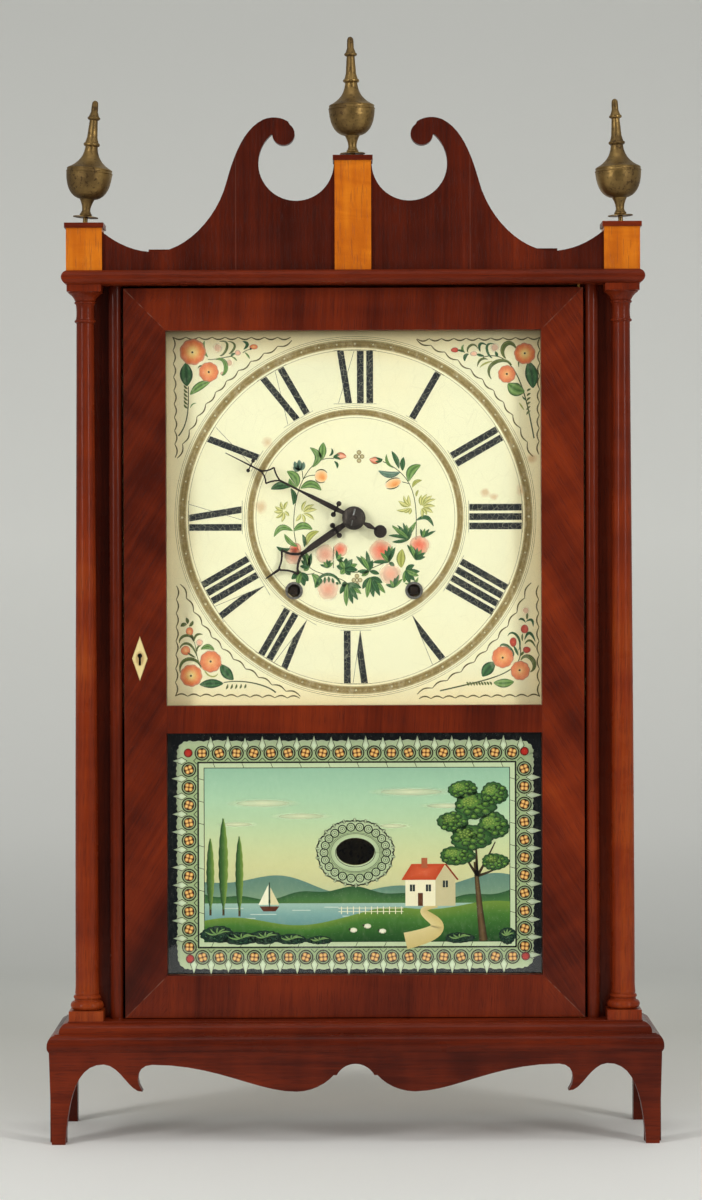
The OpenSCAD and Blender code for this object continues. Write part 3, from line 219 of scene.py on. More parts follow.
def polished(f, color, pores, rough, coat):
    smear = f.noise(f.place(), 34, 3)
    dusk = f.blend(pores * 0.3, color, tint("#2A0F08"))
    dull = (smear - 0.5) * 0.22 + rough + pores * 0.12
    gloss = {"Coat Weight": coat, "Coat Roughness": 0.13, "Specular IOR Level": 0.08}
    return f.surface(dusk, dull, smear * 0.35 - pores * 0.5, 0.00018, gloss)


def mahogany(name, grain, tone=0.5, figure=0.3, seed=0.0, rough=0.34, coat=0.1):
    f = Finish(name)
    place = f.along(grain, seed)
    return polished(f, mahoganyGrain(f, place, tone, figure), poresOf(f, place), rough, coat)


# Figures of the case woods, for each node that shows them
caseWoods = {
    "case_sides": dict(grain=(0, 0, 1), tone=0.4, seed=0.31),
    "cornice": dict(grain=(1, 0, 0), tone=0.56, figure=0.2, seed=1.1, rough=0.3),
    "base_moulding": dict(grain=(1, 0, 0), tone=0.42, figure=0.2, seed=2.3, rough=0.3),
    "front_apron": dict(grain=(1, 0, 0), tone=0.42, figure=0.4, seed=3.7),
    "side_aprons": dict(grain=(0, 1, 0), tone=0.38, seed=4.1),
    "front_stiles": dict(grain=(0, 0, 1), tone=0.36, figure=0.2, seed=5.9, rough=0.28),
    "plinth_caps": dict(grain=(1, 0, 0), tone=0.36, seed=6.2),
    "glue_blocks": dict(grain=(1, 0, 0), tone=0.34, seed=6.9, rough=0.5, coat=0.05),
    "pillars": dict(grain=(0.02, 0, 1), tone=0.68, figure=0.42, seed=7.7, rough=0.3),
    "door_rails": dict(grain=(0.05, 0, 1), tone=0.5, figure=0.34, seed=8.2),
}


# Veneer of a door stile: feathered grain that leans outwards and down, with the mitre to the upright
# grain of the rails at both ends. side is -1 for the left stile and 1 for the right one
def stileVeneer(name, side, seed):
    frameCorner = {"x": 0.1343, "top": 0.5778, "low": 0.1163, "lean": 0.62}
    f = Finish(name)
    flare = f.along((-side * frameCorner["lean"], 0, 1), seed)
    upright = f.along((0.05, 0, 1), 8.2)
    x = f.part(f.place(), "X") * side - frameCorner["x"]
    z = f.part(f.place(), "Z")
    high = z - frameCorner["top"] - x
    deep = frameCorner["low"] - z - x
    past = high.over(0.0, 0.0003).sum("MAXIMUM", deep.over(0.0, 0.0003))
    color = f.blend(past, mahoganyGrain(f, flare, 0.45, 0.5), mahoganyGrain(f, upright, 0.5, 0.34))
    near = abs(high).sum("MINIMUM", abs(deep))
    outside = x.over(0.002, 0.002)
    scratch = (1 - near.over(0.00045, 0.0003)) * f.noise(f.place(), 160).over(0.5, 0.2) * outside
    color = f.blend(scratch * 0.38, color, tint("#8E6A58"))
    return polished(f, color, poresOf(f, flare), 0.34, 0.12)


# A painted highlight, a lighter line, runs along this joint
crestSeam = 0.0835  # from the middle to the joint between two strips that catches the light


# Crest boards: upright veneer strips, each a little lighter or darker than the next
def crestVeneer(name):
    f = Finish(name)
    place = f.along((0, 0, 1), 9.4)
    strip = f.noise(f.stretch(f.along((0, 0, 1), 2.7), (0.0, 1, 0)), 30, 1)
    color = mahoganyGrain(f, place, 0.4, 0.3)
    color = f.blend(strip.over(0.5, 0.12) * 0.55, color, mahoganyGrain(f, place, 0.24, 0.15))
    seam = abs(f.part(f.place(), "X")) - crestSeam
    # Painted highlight: a lighter line along the joint between the middle strips
    color = f.blend((1 - abs(seam).over(0.0003, 0.0003)) * 0.2, color, tint("#8A5A4A"))
    return polished(f, color, poresOf(f, place), 0.36, 0.16)


def satinwood(name):
    f = Finish(name)
    place = f.along((0, 0, 1), 3.3)
    ray = f.noise(f.stretch(place, (0.12, 1, 1)), 120, 2)
    wave = f.noise(f.stretch(place, (1, 0.3, 0.3)), 75, 2, 0.5, 1.2)
    pores = f.noise(f.stretch(place, (0.06, 1, 1)), 1300, 1).over(0.64, 0.08)
    value = (ray - 0.5) * 0.8 + (wave - 0.5) * 0.5 + 0.5
    color = f.ramp(value, [(0.1, "#A54F0A"), (0.42, "#C4640A"), (0.62, "#D7760F"), (0.95, "#E48E27")])
    color = f.blend(pores * 0.35, color, tint("#7A3A0A"))
    gloss = {"Coat Weight": 0.2, "Coat Roughness": 0.2, "Specular IOR Level": 0.15}
    return f.surface(color, (ray - 0.5) * 0.2 + 0.36, ray * 0.3 - pores * 0.4, 0.00015, gloss)


# Plain unpolished wood: year rings as waves across the grain, fibres and faint dirt
def plainWood(name, grain, colors, rings=55, seed=0.0, rough=0.62):
    f = Finish(name)
    place = f.along(grain, seed)
    waves = {"Scale": rings, "Distortion": 3.4, "Detail": 2.0, "Detail Scale": 0.8}
    waves["Vector"] = f.stretch(place, (0.08, 1, 0.5))
    year = f.add("TexWave", {"bands_direction": "Y"}, waves, "Fac")
    fibre = f.noise(f.stretch(place, (0.02, 1, 1)), 800, 2)
    dirt = f.noise(f.stretch(place, (0.15, 1, 1)), 12, 2)
    color = f.blend(year * 0.6 + (fibre - 0.5) * 0.5, tint(colors[0]), tint(colors[1]))
    color = f.blend(dirt.over(0.56, 0.4) * 0.3, color, tint(colors[2]))
    return f.surface(color, fibre * 0.2 + rough, fibre + year * 0.3, 0.00022, {"Specular IOR Level": 0.3})


# Cord drum: wood behind the front plate, and the iron arbor that comes forward through it
def drumFinish(name, seed, plate):
    f = Finish(name)
    place = f.along((0, 1, 0), seed)
    fibre = f.noise(f.stretch(place, (0.03, 1, 1)), 700, 2)
    rust = f.noise(f.place(), 190, 3)
    wood = f.part(f.place(), "Y").over(plate, 0.0004)
    iron = f.blend(rust, tint("#15110F"), tint("#3A2A20"))
    color = f.blend(wood, iron, f.blend(fibre, tint("#9A623A"), tint("#6E4024")))
    height = fibre * wood + rust * (1 - wood)
    others = {"Metallic": (1 - wood) * 0.6, "Specular IOR Level": 0.3}
    return f.surface(color, wood * 0.15 + rust * 0.2 + 0.3, height, 0.00015, others)


# Metal with a worn and a dull tone, in patches and fine scratches
def metal(name, bright, dull, rough, patch=60, grimeAndShadow=0.5, depth=0.00012, metallic=1.0):
    f = Finish(name)
    cloud = f.noise(f.place(), patch, 4, 0.6)
    speck = f.noise(f.place(), patch * 9, 2)
    scratch = f.noise(f.stretch(f.place(), (1, 1, 0.05)), 2400, 1)
    # grimeAndShadow sets how much of the metal the dull, tarnished patches cover
    old = (cloud.over(grimeAndShadow, 0.3) * 0.8 + speck.over(0.62, 0.1) * 0.4).held()
    color = f.blend(old, tint(bright), tint(dull))
    height = cloud * 0.5 + speck * 0.4 + scratch * 0.3
    others = {"Metallic": metallic - old * 0.25 * metallic}
    return f.surface(color, old * 0.24 + (scratch - 0.5) * 0.12 + rough, height, depth, others)


# Clear old glass that lets lamplight through, with faint waves
def windowGlass(name):
    f = Finish(name)
    wave = f.noise(f.stretch(f.place(), (1, 1, 0.6)), 22, 1)
    sheer = {"Base Color": (0.98, 1.0, 0.99, 1), "Roughness": 0.02, "Transmission Weight": 1.0, "IOR": 1.45}
    pane = f.shade({**sheer, "Normal": f.bump(wave, 0.0004)})
    clear = f.add("BsdfTransparent", {}, {"Color": (0.97, 0.985, 0.98, 1)})
    lamp = f.add("LightPath", {}, {}, "Is Shadow Ray")
    return f.show(f.add("MixShader", {}, {0: lamp, 1: pane, 2: clear}))


# Cream dial ground: slow clouds, painted shade towards the frame, a painted shadow under the top rail
# and along the frame, fine cracks and a few brown stains. The painted shade and shadows start at these
# distances from the dial's middle; a stain is its place and radius, in metres
dialLook = {
    "ground": "#F0EAC3",
    # shade is the colour of the painted shade towards the frame
    "shade": "#FDDFA0",
    # Colour of the painted shadow under the door's top rail and along the frame
    "grimeAndShadow": "#7A5C30",
    "stains": [
        (0.1225, 0.464, 0.0052), (0.0945, 0.462, 0.0034), (0.1015, 0.4585, 0.0026),
        (-0.062, 0.4985, 0.0042), (-0.0665, 0.452, 0.0048), (0.128, 0.486, 0.0038),
    ],
    "shadeFrom": 0.122,
    "topShadow": 0.1325,
    "frameShadow": 0.1335,
    "stain": "#C98A4A",
    "crack": "#8F8256",
}


def dialGround(name):
    f = Finish(name)
    x = f.part(f.place(), "X")
    z = f.part(f.place(), "Z")
    cloud = f.noise(f.place(), 16, 3)
    grit = f.noise(f.place(), 420, 2)
    edge = abs(x).sum("MAXIMUM", abs(z - dialMiddle))
    # Painted shade: the ground turns to the shade colour near the frame, mixed with slow clouds
    dusk = (edge.over(dialLook["shadeFrom"], 0.028) * 0.55 + (cloud - 0.5) * 0.5).held()
    color = f.blend(dusk, tint(dialLook["ground"]), tint(dialLook["shade"]))
    # Painted shadow: brown under the door's top rail, and fainter along the frame
    paintedShadow = (z - dialMiddle).over(dialLook["topShadow"], 0.005) * 0.5
    paintedShadow = paintedShadow + edge.over(dialLook["frameShadow"], 0.005) * 0.15
    color = f.blend(paintedShadow.held(), color, tint(dialLook["grimeAndShadow"]))
    ragged = (grit - 0.5) * 0.002 + (f.noise(f.place(), 150) - 0.5) * 0.004
    for sx, sz, radius in dialLook["stains"]:
        gap = ((x - sx) ** 2 + (z - sz) ** 2) ** 0.5 + ragged
        color = f.blend((1 - gap.over(radius * 0.7, radius * 0.8)) * 0.5, color, tint(dialLook["stain"]))
    crack = 1 - f.cracks(f.stretch(f.place(), (1, 0.1, 1)), 95).over(0.012, 0.016)
    color = f.blend(crack * 0.08, color, tint(dialLook["crack"]))
    height = grit * 0.4 - crack * 0.15
    return f.surface(color, grit * 0.12 + 0.42, height, 0.00006, {"Specular IOR Level": 0.3})


# Paint whose colour and cover come from the piece's own attribute, thinned and mottled by noise.
# hole gives the clear oval of the lower glass, which no paint covers
def paint(name, mottle=0.22, wear=0.0, rough=0.45, hole=None, cracked=0.0, shine=0.25):
    f = Finish(name)
    layer = {"attribute_name": "paint"}
    color = f.add("Attribute", layer, {}, "Color")
    cover = f.add("Attribute", layer, {}, "Alpha")
    stroke = f.noise(f.stretch(f.place(), (1, 0.1, 0.6)), 380, 3)
    cloud = f.noise(f.place(), 90, 2)
    value = ((stroke - 0.5) * 2 + (cloud - 0.5)) * mottle
    color = f.blend(value.held(), color, tint("#FFF6D8"))
    color = f.blend((0 - value).held(), color, tint("#10160F"))
    if wear:
        crack = 1 - f.cracks(f.stretch(f.place(), (1, 0.1, 1)), 260).over(0.03, 0.05)
        flake = f.noise(f.place(), 900, 2).over(0.6, 0.1)
        cover = cover * (1 - (crack * cracked + flake * wear).held())
    if hole:
        x = (f.part(f.place(), "X") - hole["x"]) / hole["halfWidth"]
        z = (f.part(f.place(), "Z") - hole["z"]) / hole["halfHeight"]
        cover = cover * (x * x + z * z).over(1.0, 0.03)
    others = {"Alpha": cover, "Specular IOR Level": shine}
    return f.surface(color, stroke * 0.2 + rough, stroke, 0.00004, others)


# Bone keyhole plate, darker round the keyhole and along its edges
def boneFinish(name, box):
    f = Finish(name)
    halfX = (box[1].x - box[0].x) / 2
    halfZ = (box[1].z - box[0].z) / 2
    x = f.part(f.place(), "X") - (box[0].x + box[1].x) / 2
    z = f.part(f.place(), "Z") - (box[0].z + box[1].z) / 2
    rim = (abs(x) / halfX + abs(z) / halfZ).over(0.93, 0.1)
    ring = 1 - (x * x + z * z * 0.35).sum("SQRT").over(0.0029, 0.0012)
    grain = f.noise(f.stretch(f.place(), (1, 1, 0.1)), 700, 2)
    color = f.blend((grain - 0.35).held(), tint("#F2DF9C"), tint("#D8B566"))
    color = f.blend((rim * 0.5 + ring * 0.55).held(), color, tint("#8A5A22"))
    return f.surface(color, grain * 0.2 + 0.28, grain, 0.00008, {"Coat Weight": 0.2})


# Twisted flax: fine hairs round the cord and grey handling dirt
def flaxFinish(name):
    f = Finish(name)
    hair = f.noise(f.stretch(f.place(), (1, 1, 0.35)), 2600, 2)
    dirt = f.noise(f.place(), 70, 2)
    color = f.blend(hair, tint("#7A6740"), tint("#C2AD7C"))
    color = f.blend(dirt.over(0.55, 0.2) * 0.5, color, tint("#5A4B31"))
    return f.surface(color, hair * 0.1 + 0.8, hair, 0.0002, {"Specular IOR Level": 0.2})


def wear(node, material):
    parts[node].material_slots[0].material = material


for node, look in caseWoods.items():
    wear(node, mahogany("mahogany_" + node, **look))
wear("door_stile_left", stileVeneer("mahogany_stile_left", -1, 10.6))
wear("door_stile_right", stileVeneer("mahogany_stile_right", 1, 12.9))
wear("crest_scrolls", crestVeneer("mahogany_crest"))
wear("plinths", satinwood("satinwood"))
pineColors = ("#B98F58", "#8C6233", "#5E4527")
cherryColors = ("#A0643A", "#7A4423", "#4A2C1A")
for node in ("back_board", "movement_rails", "glazing_strips"):
    wear(node, plainWood("pine_" + node, (0, 0, 1), pineColors, seed=len(node) * 0.37))
turnedWoods = """front_plate back_plate plate_posts cannon_pinion minute_wheel hour_wheel time_great_wheel
    centre_wheel third_wheel strike_great_wheel pin_wheel warning_wheel fly time_pulley strike_pulley"""
for k, node in enumerate(turnedWoods.split()):
    look = plainWood("cherry_" + node, (1, 0, 0.1), cherryColors, rings=90, seed=k * 0.53, rough=0.5)
    wear(node, look)
for node, seed in {"time_drum": 1.3, "strike_drum": 2.9}.items():
    wear(node, drumFinish("turned_" + node, seed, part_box("front_plate")[0].y))
antiqueBrass = metal("antique_brass", "#9C7F4C", "#4E3A20", 0.34, patch=48, grimeAndShadow=0.5, depth=0.0002)
dullBrass = metal("dull_brass", "#C29A4E", "#6E4E22", 0.3, patch=80)
greySteel = metal("grey_steel", "#A8A8A8", "#5C5650", 0.3, patch=120)
bushIron = metal("bush_iron", "#85807A", "#4A423A", 0.45, patch=160, metallic=0.8)
collarSteel = metal("collar_steel", "#4A413A", "#2A241F", 0.38, patch=160, metallic=0.8)
castIron = metal("cast_iron", "#4A4745", "#2A2522", 0.55, patch=160, depth=0.0006, metallic=0.8)
blackSteel = metal("black_steel", "#2A221F", "#382C26", 0.42, patch=150, metallic=0.7)
metalNodes = [
    (antiqueBrass, "finials pendulum"),
    (dullBrass, "bell escape_wheel suspension_cock lock_case case_hinge_leaves door_hinge_pins"),
    (greySteel, "lock_bolt time_click strike_click verge hammer"),
    (bushIron, "winding_bushes"),
    (castIron, "pulley_brackets time_weight strike_weight"),
    (blackSteel, "minute_hand hour_hand"),
]
for material, nodes in metalNodes:
    for node in nodes.split():
        wear(node, material)
wear("dial_board", dialGround("dial_ground"))
wear("dial_glass", windowGlass("window_glass"))
wear("tablet_glass", windowGlass("tablet_pane"))
wear("escutcheon", boneFinish("bone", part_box("escutcheon")))
flax = flaxFinish("flax")
wear("cord_leads", flax)
print("woods, metals, glass and dial ground are on")


def addPiece(name, verts, faces, material, body, slot, smooth=True):
    mesh = bpy.data.meshes.new(name)
    mesh.from_pydata(verts, [], faces)
    mesh.polygons.foreach_set("use_smooth", [smooth] * len(mesh.polygons))
    mesh.update()
    piece = bpy.data.objects.new(name, mesh)
    scene.collection.objects.link(piece)
    mesh.materials.append(material)
    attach(piece, body)
    return piece


# Closed round surface from rings: rings is (rows, sides, 3), with a pole at each end
def roundedMesh(rings):
    rows, sides = rings.shape[:2]
    verts = np.concatenate([rings.reshape(-1, 3), [rings[0].mean(0)], [rings[-1].mean(0)]])
    index = np.arange(rows * sides).reshape(rows, sides)
    onward = np.roll(index, -1, axis=1)
    quads = np.stack([index[:-1], onward[:-1], onward[1:], index[1:]], -1).reshape(-1, 4).tolist()
    foot = np.stack([np.full(sides, rows * sides), onward[0], index[0]], -1).tolist()
    head = np.stack([np.full(sides, rows * sides + 1), index[-1], onward[-1]], -1).tolist()
    return verts, quads + foot + head


# Faces seen from the front of their plane, turned where they run the wrong way round
def facingFront(points, faces):
    a, b, c = (points[faces[:, k]] for k in range(3))
    facing = (b[:, 0] - a[:, 0]) * (c[:, 1] - a[:, 1]) - (b[:, 1] - a[:, 1]) * (c[:, 0] - a[:, 0])
    return np.where((facing < 0)[:, None], faces[:, ::-1], faces)


# Unit steps square to a path, to its left, one for each of its points
def sideways(path):
    way = np.gradient(path, axis=0)
    return np.stack([-way[:, 1], way[:, 0]], -1) / np.linalg.norm(way, axis=1)[:, None]


# Flat painted shapes on one upright plane, in millimetres, each one nearer the eye by its lift.
# grow spreads them from the height of the eye, because the plane lies behind the door's face. holes
# are round places, each with its middle and radius in metres, that points are pushed out of
class Painting:
    def __init__(self, front, step, grow):
        self.front = front
        self.step = step
        self.grow = grow
        self.verts = []
        self.faces = []
        self.colors = []
        self.count = 0
        self.holes = []

    def keep(self, flat, colors, faces, lift):
        full = np.empty((len(flat), 3))
        full[:, 0] = flat[:, 0] * self.grow / 1000
        full[:, 1] = self.front - lift * self.step
        full[:, 2] = (flat[:, 1] / 1000 - eyeHeight) * self.grow + eyeHeight
        for x, z, radius in self.holes:
            gap = full[:, ::2] - (x, z)
            full[:, ::2] = (x, z) + gap * np.maximum(1, radius / np.linalg.norm(gap, axis=1))[:, None]
        faces = facingFront(full[:, ::2], faces)
        self.verts.append(full)
        self.colors.append(np.broadcast_to(colors, (len(flat), 4)))
        self.faces += (faces + self.count).tolist()
        self.count += len(flat)

    # Rows of points joined one to the next: rows is (k, n, 2), colors has a colour for each row
    def sheet(self, rows, colors, lift):
        k, n = rows.shape[:2]
        index = np.arange(k * n).reshape(k, n)
        quads = np.stack([index[:-1, :-1], index[1:, :-1], index[1:, 1:], index[:-1, 1:]], -1).reshape(-1, 4)
        colors = np.asarray(colors)
        if colors.ndim == 2:
            colors = np.repeat(colors[:, None], n, axis=1)
        self.keep(rows.reshape(-1, 2), colors.reshape(-1, 4), quads, lift)

    # Stroke along a path: the edges stand half a width to each side, colours run from edge to edge
    def stroke(self, path, half, colors, lift):
        path, colors = np.asarray(path, float), paints(colors)
        offset = sideways(path) * np.broadcast_to(half, len(path))[:, None]
        steps = np.linspace(-1, 1, len(colors))
        self.sheet(path[None] + steps[:, None, None] * offset[None], colors, lift)

    # Filled outline: rings shrink to the middle, one colour for each ring from middle to edge
    def fill(self, outline, colors, lift, fractions=None, middle=None):
        outline, colors = np.asarray(outline, float), paints(colors)
        middle = outline.mean(0) if middle is None else np.asarray(middle, float)
        rings = len(colors) - 1
        fractions = np.linspace(1 / rings, 1, rings) if fractions is None else np.asarray(fractions)
        n = len(outline)
        around = middle + fractions[:, None, None] * (outline - middle)[None]
        flat = np.concatenate([[middle], around.reshape(-1, 2)])
        shades = np.concatenate([[colors[0]], np.repeat(np.asarray(colors[1:]), n, axis=0)])
        index = 1 + np.arange(rings * n).reshape(rings, n)
        onward = np.roll(index, -1, axis=1)
        start = self.count
        self.keep(flat, shades, np.stack([np.zeros(n, int), index[0], onward[0]], -1), lift)
        if rings > 1:
            quads = np.stack([index[:-1], index[1:], onward[1:], onward[:-1]], -1).reshape(-1, 4)
            self.faces += (facingFront(flat, quads) + start).tolist()

    def make(self, name, material, body, slot):
        verts = np.concatenate(self.verts)
        piece = addPiece(name, verts, self.faces, material, body, slot, smooth=False)
        layer = piece.data.color_attributes.new("paint", "FLOAT_COLOR", "POINT")
        layer.data.foreach_set("color", np.concatenate(self.colors).astype(np.float32).ravel())
        return piece


# Pixel column of the clock's middle, pixel row of the ground and millimetres to a pixel
photo = {"middle": 353.5, "ground": 1138, "scale": 0.715}


# Place in millimetres on the clock's face of a point that was read off the photograph in pixels
def spot(px, py):
    return np.array([(px - photo["middle"]) * photo["scale"], (photo["ground"] - py) * photo["scale"]])


def spots(*pixels):
    return np.array([spot(*p) for p in pixels])


def towards(angle):
    return np.array([math.cos(angle), math.sin(angle)])


# Points of an ellipse about nothing, at the given turns
def roundAbout(turn, halfX=1.0, halfY=1.0):
    return np.stack([np.cos(turn) * halfX, np.sin(turn) * halfY], -1)


def turns(n):
    return np.linspace(0, 2 * np.pi, n, endpoint=False)


def circle(middle, radius, n):
    return np.asarray(middle) + roundAbout(turns(n)) * radius


def oval(middle, halfX, halfY, n=72):
    return np.asarray(middle) + roundAbout(turns(n), halfX, halfY)


def closed(outline):
    return np.concatenate([outline, outline[:2]])


# Smooth path of n points: a quadratic curve through three points, or a cubic one that lies near more
def curve(points, n):
    points = np.asarray(points, float)
    t = np.linspace(0, 1, len(points))
    s = np.linspace(0, 1, n)
    degree = min(3, len(points) - 1)
    return np.stack([np.polyval(np.polyfit(t, points[:, k], degree), s) for k in (0, 1)], -1)


# Leaf or petal from base to tip: half width w sin(pi t)^0.8, bent sideways by a share of its length
def leaf(painting, base, tip, width, colors, lift, bend=0.12):
    t = np.linspace(0.02, 0.98, 13)
    base, tip = np.asarray(base, float), np.asarray(tip, float)
    way = tip - base
    side = np.array([-way[1], way[0]])
    path = base + t[:, None] * way + (bend * np.sin(np.pi * t))[:, None] * side
    painting.stroke(path, width / 2 * np.sin(np.pi * t) ** 0.8, colors, lift)


# Dial: rings, minute dots and Roman hours, worked in polar places round the centre of the dial
dialMarks = {
    "centre": np.array([1.2, dialMiddle * 1000 + 0.5]),
    "step": 0.00004,
    "grow": 1.0084,
    "minuteRing": (121.0, 126.8),
    "innerRing": (72.6, 77.3),
    "hoursFrom": 81.4,
    "hoursTo": 118.8,
    "barWidth": 4.8,
    "gap": 1.9,
    "crossWidth": 12.4,
    "cornerArc": 134.2,
    "veeWidth": 10.4,
    "hairline": 0.34,
    "gold": "#C2AE7C #86703F #9A8350 #8C7746 #C6B484",
    "fineLine": "#8E7D54",
    "ink": "#282B2B",
}
hourWords = ["I", "II", "III", "IIII", "V", "VI", "VII", "VIII", "IX", "X", "XI", "XII"]


def dialSheet():
    return Painting(dialPlane, dialMarks["step"], dialMarks["grow"])


def dialRings():
    rings = dialSheet()
    wheel = roundAbout(np.linspace(0, 2 * np.pi, 361))
    for inner, outer in (dialMarks["minuteRing"], dialMarks["innerRing"]):
        radii = np.linspace(inner, outer, 5)
        rings.sheet(dialMarks["centre"] + radii[:, None, None] * wheel[None], tints(dialMarks["gold"]), 1)
        for edge in (inner - 1.5, outer + 1.0, outer + 2.2):
            rows = np.array([edge - 0.15, edge + 0.15])[:, None, None] * wheel[None]
            rings.sheet(dialMarks["centre"] + rows, [tint(dialMarks["fineLine"], 0.7)] * 2, 1)
    middle = sum(dialMarks["minuteRing"]) / 2
    for k in range(60):
        dot = dialMarks["centre"] + middle * towards(math.radians(6 * k))
        rings.fill(circle(dot, 0.9 if k % 5 else 1.15, 14), "#F4E9C2/0.9 #E3D5A6/0.8 #C9B884/0.3", 2)
    look = paint("gilt_paint", mottle=0.3, wear=0.25, rough=0.4, cracked=0.2)
    return rings.make("dial_rings", look, "case", "dial")


# One stroke of a numeral: near and far are its two edges, as sideways places from the inner hour
# circle to the outer one
def numeralStroke(ink, angle, near, far, color, lift):
    right = np.array([math.sin(angle), -math.cos(angle)])
    t = np.linspace(0, 1, 17)
    reach = dialMarks["hoursFrom"] + t * (dialMarks["hoursTo"] - dialMarks["hoursFrom"])
    path = dialMarks["centre"] + reach[:, None] * towards(angle)
    near, far = near(t), far(t)
    rows = [path + across[:, None] * right for across in (near, (near + far) / 2, far)]
    ink.sheet(np.stack(rows), [color] * 3, lift)


# Straight stroke that starts at low on the inner circle and ends at high on the outer one
def straightStroke(ink, angle, low, high, width, color, lift):
    def near(t):
        return low + t * (high - low)

    numeralStroke(ink, angle, near, lambda t: near(t) + width, color, lift)


# Broad stroke of a V, from its outer place to the foot, where it narrows to a point on the thin stroke
def veeStroke(ink, angle, outer, foot, color, lift):
    bar, vee = dialMarks["barWidth"], dialMarks["veeWidth"]

    def near(t):
        return foot + t * (outer - foot)

    numeralStroke(ink, angle, near, lambda t: near(t) + np.minimum(bar, vee * t), color, lift)


def dialHours():
    ink = dialSheet()
    dark = tint(dialMarks["ink"])
    grey = tint("#5E5B4A", 0.85)
    bar, hair, vee = dialMarks["barWidth"], dialMarks["hairline"], dialMarks["veeWidth"]
    breadth = {"I": bar, "V": vee, "X": dialMarks["crossWidth"]}
    for hour, word in enumerate(hourWords, 1):
        angle = math.radians(90 - 30 * hour)
        total = sum(breadth[letter] for letter in word) + dialMarks["gap"] * (len(word) - 1)
        at = -total / 2
        for letter in word:
            width = breadth[letter]
            if letter == "I":
                straightStroke(ink, angle, at, at, bar, dark, 2)
            elif letter == "V":
                foot = at + vee / 2
                veeStroke(ink, angle, at, foot, dark, 2)
                straightStroke(ink, angle, foot, at + vee, hair, grey, 1)
            else:
                straightStroke(ink, angle, at + width - bar - 1.6, at, bar, dark, 2)
                straightStroke(ink, angle, at + 0.9, at + width - 0.3, hair, grey, 1)
            at += width + dialMarks["gap"]
        right = np.array([math.sin(angle), -math.cos(angle)])
        for reach in (dialMarks["hoursFrom"] - 0.5, dialMarks["hoursTo"] + 0.4):
            s = np.linspace(-total / 2 - 2.4, total / 2 + 2.4, 9)
            foot = dialMarks["centre"] + reach * towards(angle)
            ink.stroke(foot + s[:, None] * right, 0.14, [grey] * 2, 1)
    look = paint("hour_paint", mottle=0.1, wear=0.18, rough=0.4, cracked=0.34)
    return ink.make("dial_hours", look, "case", "dial")


# Colours of a shape from its middle to its edge, or from one edge of a stroke to the other
flowerColors = {
    "orange": tints("#F7E3A0 #F6C676 #EE9050 #E2703F #EDA27C/0.55"),
    "salmon": tints("#F3C988 #F0A468 #E98A58 #DE7A50 #EDB08C/0.0"),
    "red": tints("#D6604A #C9503C #BC4434 #B84838/0.9 #D08A78/0.0"),
    "rose": tints("#EC6244/0.95 #F08062/0.9 #F5A284/0.75 #F9C6A8/0.4 #FBDFC6/0.0"),
    "pale": tints("#F3A88A/0.9 #F5B496/0.85 #F7C4A8/0.72 #FAD5BA/0.4 #FBE3CF/0.0"),
    "faint": tints("#EBB49C/0.6 #EDBBA4/0.55 #F0C6AE/0.4 #F4D5BE/0.2 #FBE3CF/0.0"),
    "dark": tints("#152B1A #4B7647 #27492B #3C6A3C #142818"),
    "mid": tints("#2F4F26 #86A75C #44692F #7C9E54 #2C4A24"),
    "olive": tints("#6B6C28 #C2C268 #8D8F3C #B9BA60 #6A6C2C"),
    "straw": tints("#7F8440/0.9 #E9E09A #D9D080 #E4DC96 #757C38/0.9"),
    "grey": tints("#2D463A #7D9880 #4D6A58 #5F7D68 #2A4034"),
    "brown": tints("#2C3316 #7A8346 #4A5626 #67723A #2A3014"),
    "stem": tints("#434C26 #434C26"),
    "line": tints("#5E5326 #5E5326"),
}


def softFlower(painting, px, py, radius, kind, lift, petals=7, squeeze=1.0):
    turn = turns(56)
    shape = radius * photo["scale"] * (1 + 0.07 * np.abs(np.sin(petals * turn / 2 + px)))
    outline = spot(px, py) + roundAbout(turn, shape, shape * squeeze)
    painting.fill(outline, flowerColors[kind], lift, [0.3, 0.6, 0.86, 1.04])


# Crescent or curved leaf through pixels of the photograph: half width w/2 sin(pi t)^0.7
def crescent(painting, pixels, width, kind, lift):
    belly = np.sin(np.pi * np.linspace(0.03, 0.97, 18)) ** 0.7
    painting.stroke(curve(spots(*pixels), 18), width * photo["scale"] / 2 * belly, flowerColors[kind], lift)


def pixelLeaf(painting, x0, y0, x1, y1, width, kind, lift, bend):
    leaf(painting, spot(x0, y0), spot(x1, y1), width * photo["scale"], flowerColors[kind], lift, bend)


# Garland line: bellies |sin| high between cusps, thicker in each belly
def garland(painting, path, pitch, high, side):
    gaps = np.linalg.norm(np.diff(path, axis=0), axis=1)
    run = np.concatenate([[0], np.cumsum(gaps)])
    count = max(1, round(run[-1] / pitch))
    belly = np.abs(np.sin(np.pi * run / run[-1] * count))
    wave = path + sideways(path) * (side * high * belly)[:, None]
    painting.stroke(wave, 0.26 + 0.26 * belly, flowerColors["line"], 1)


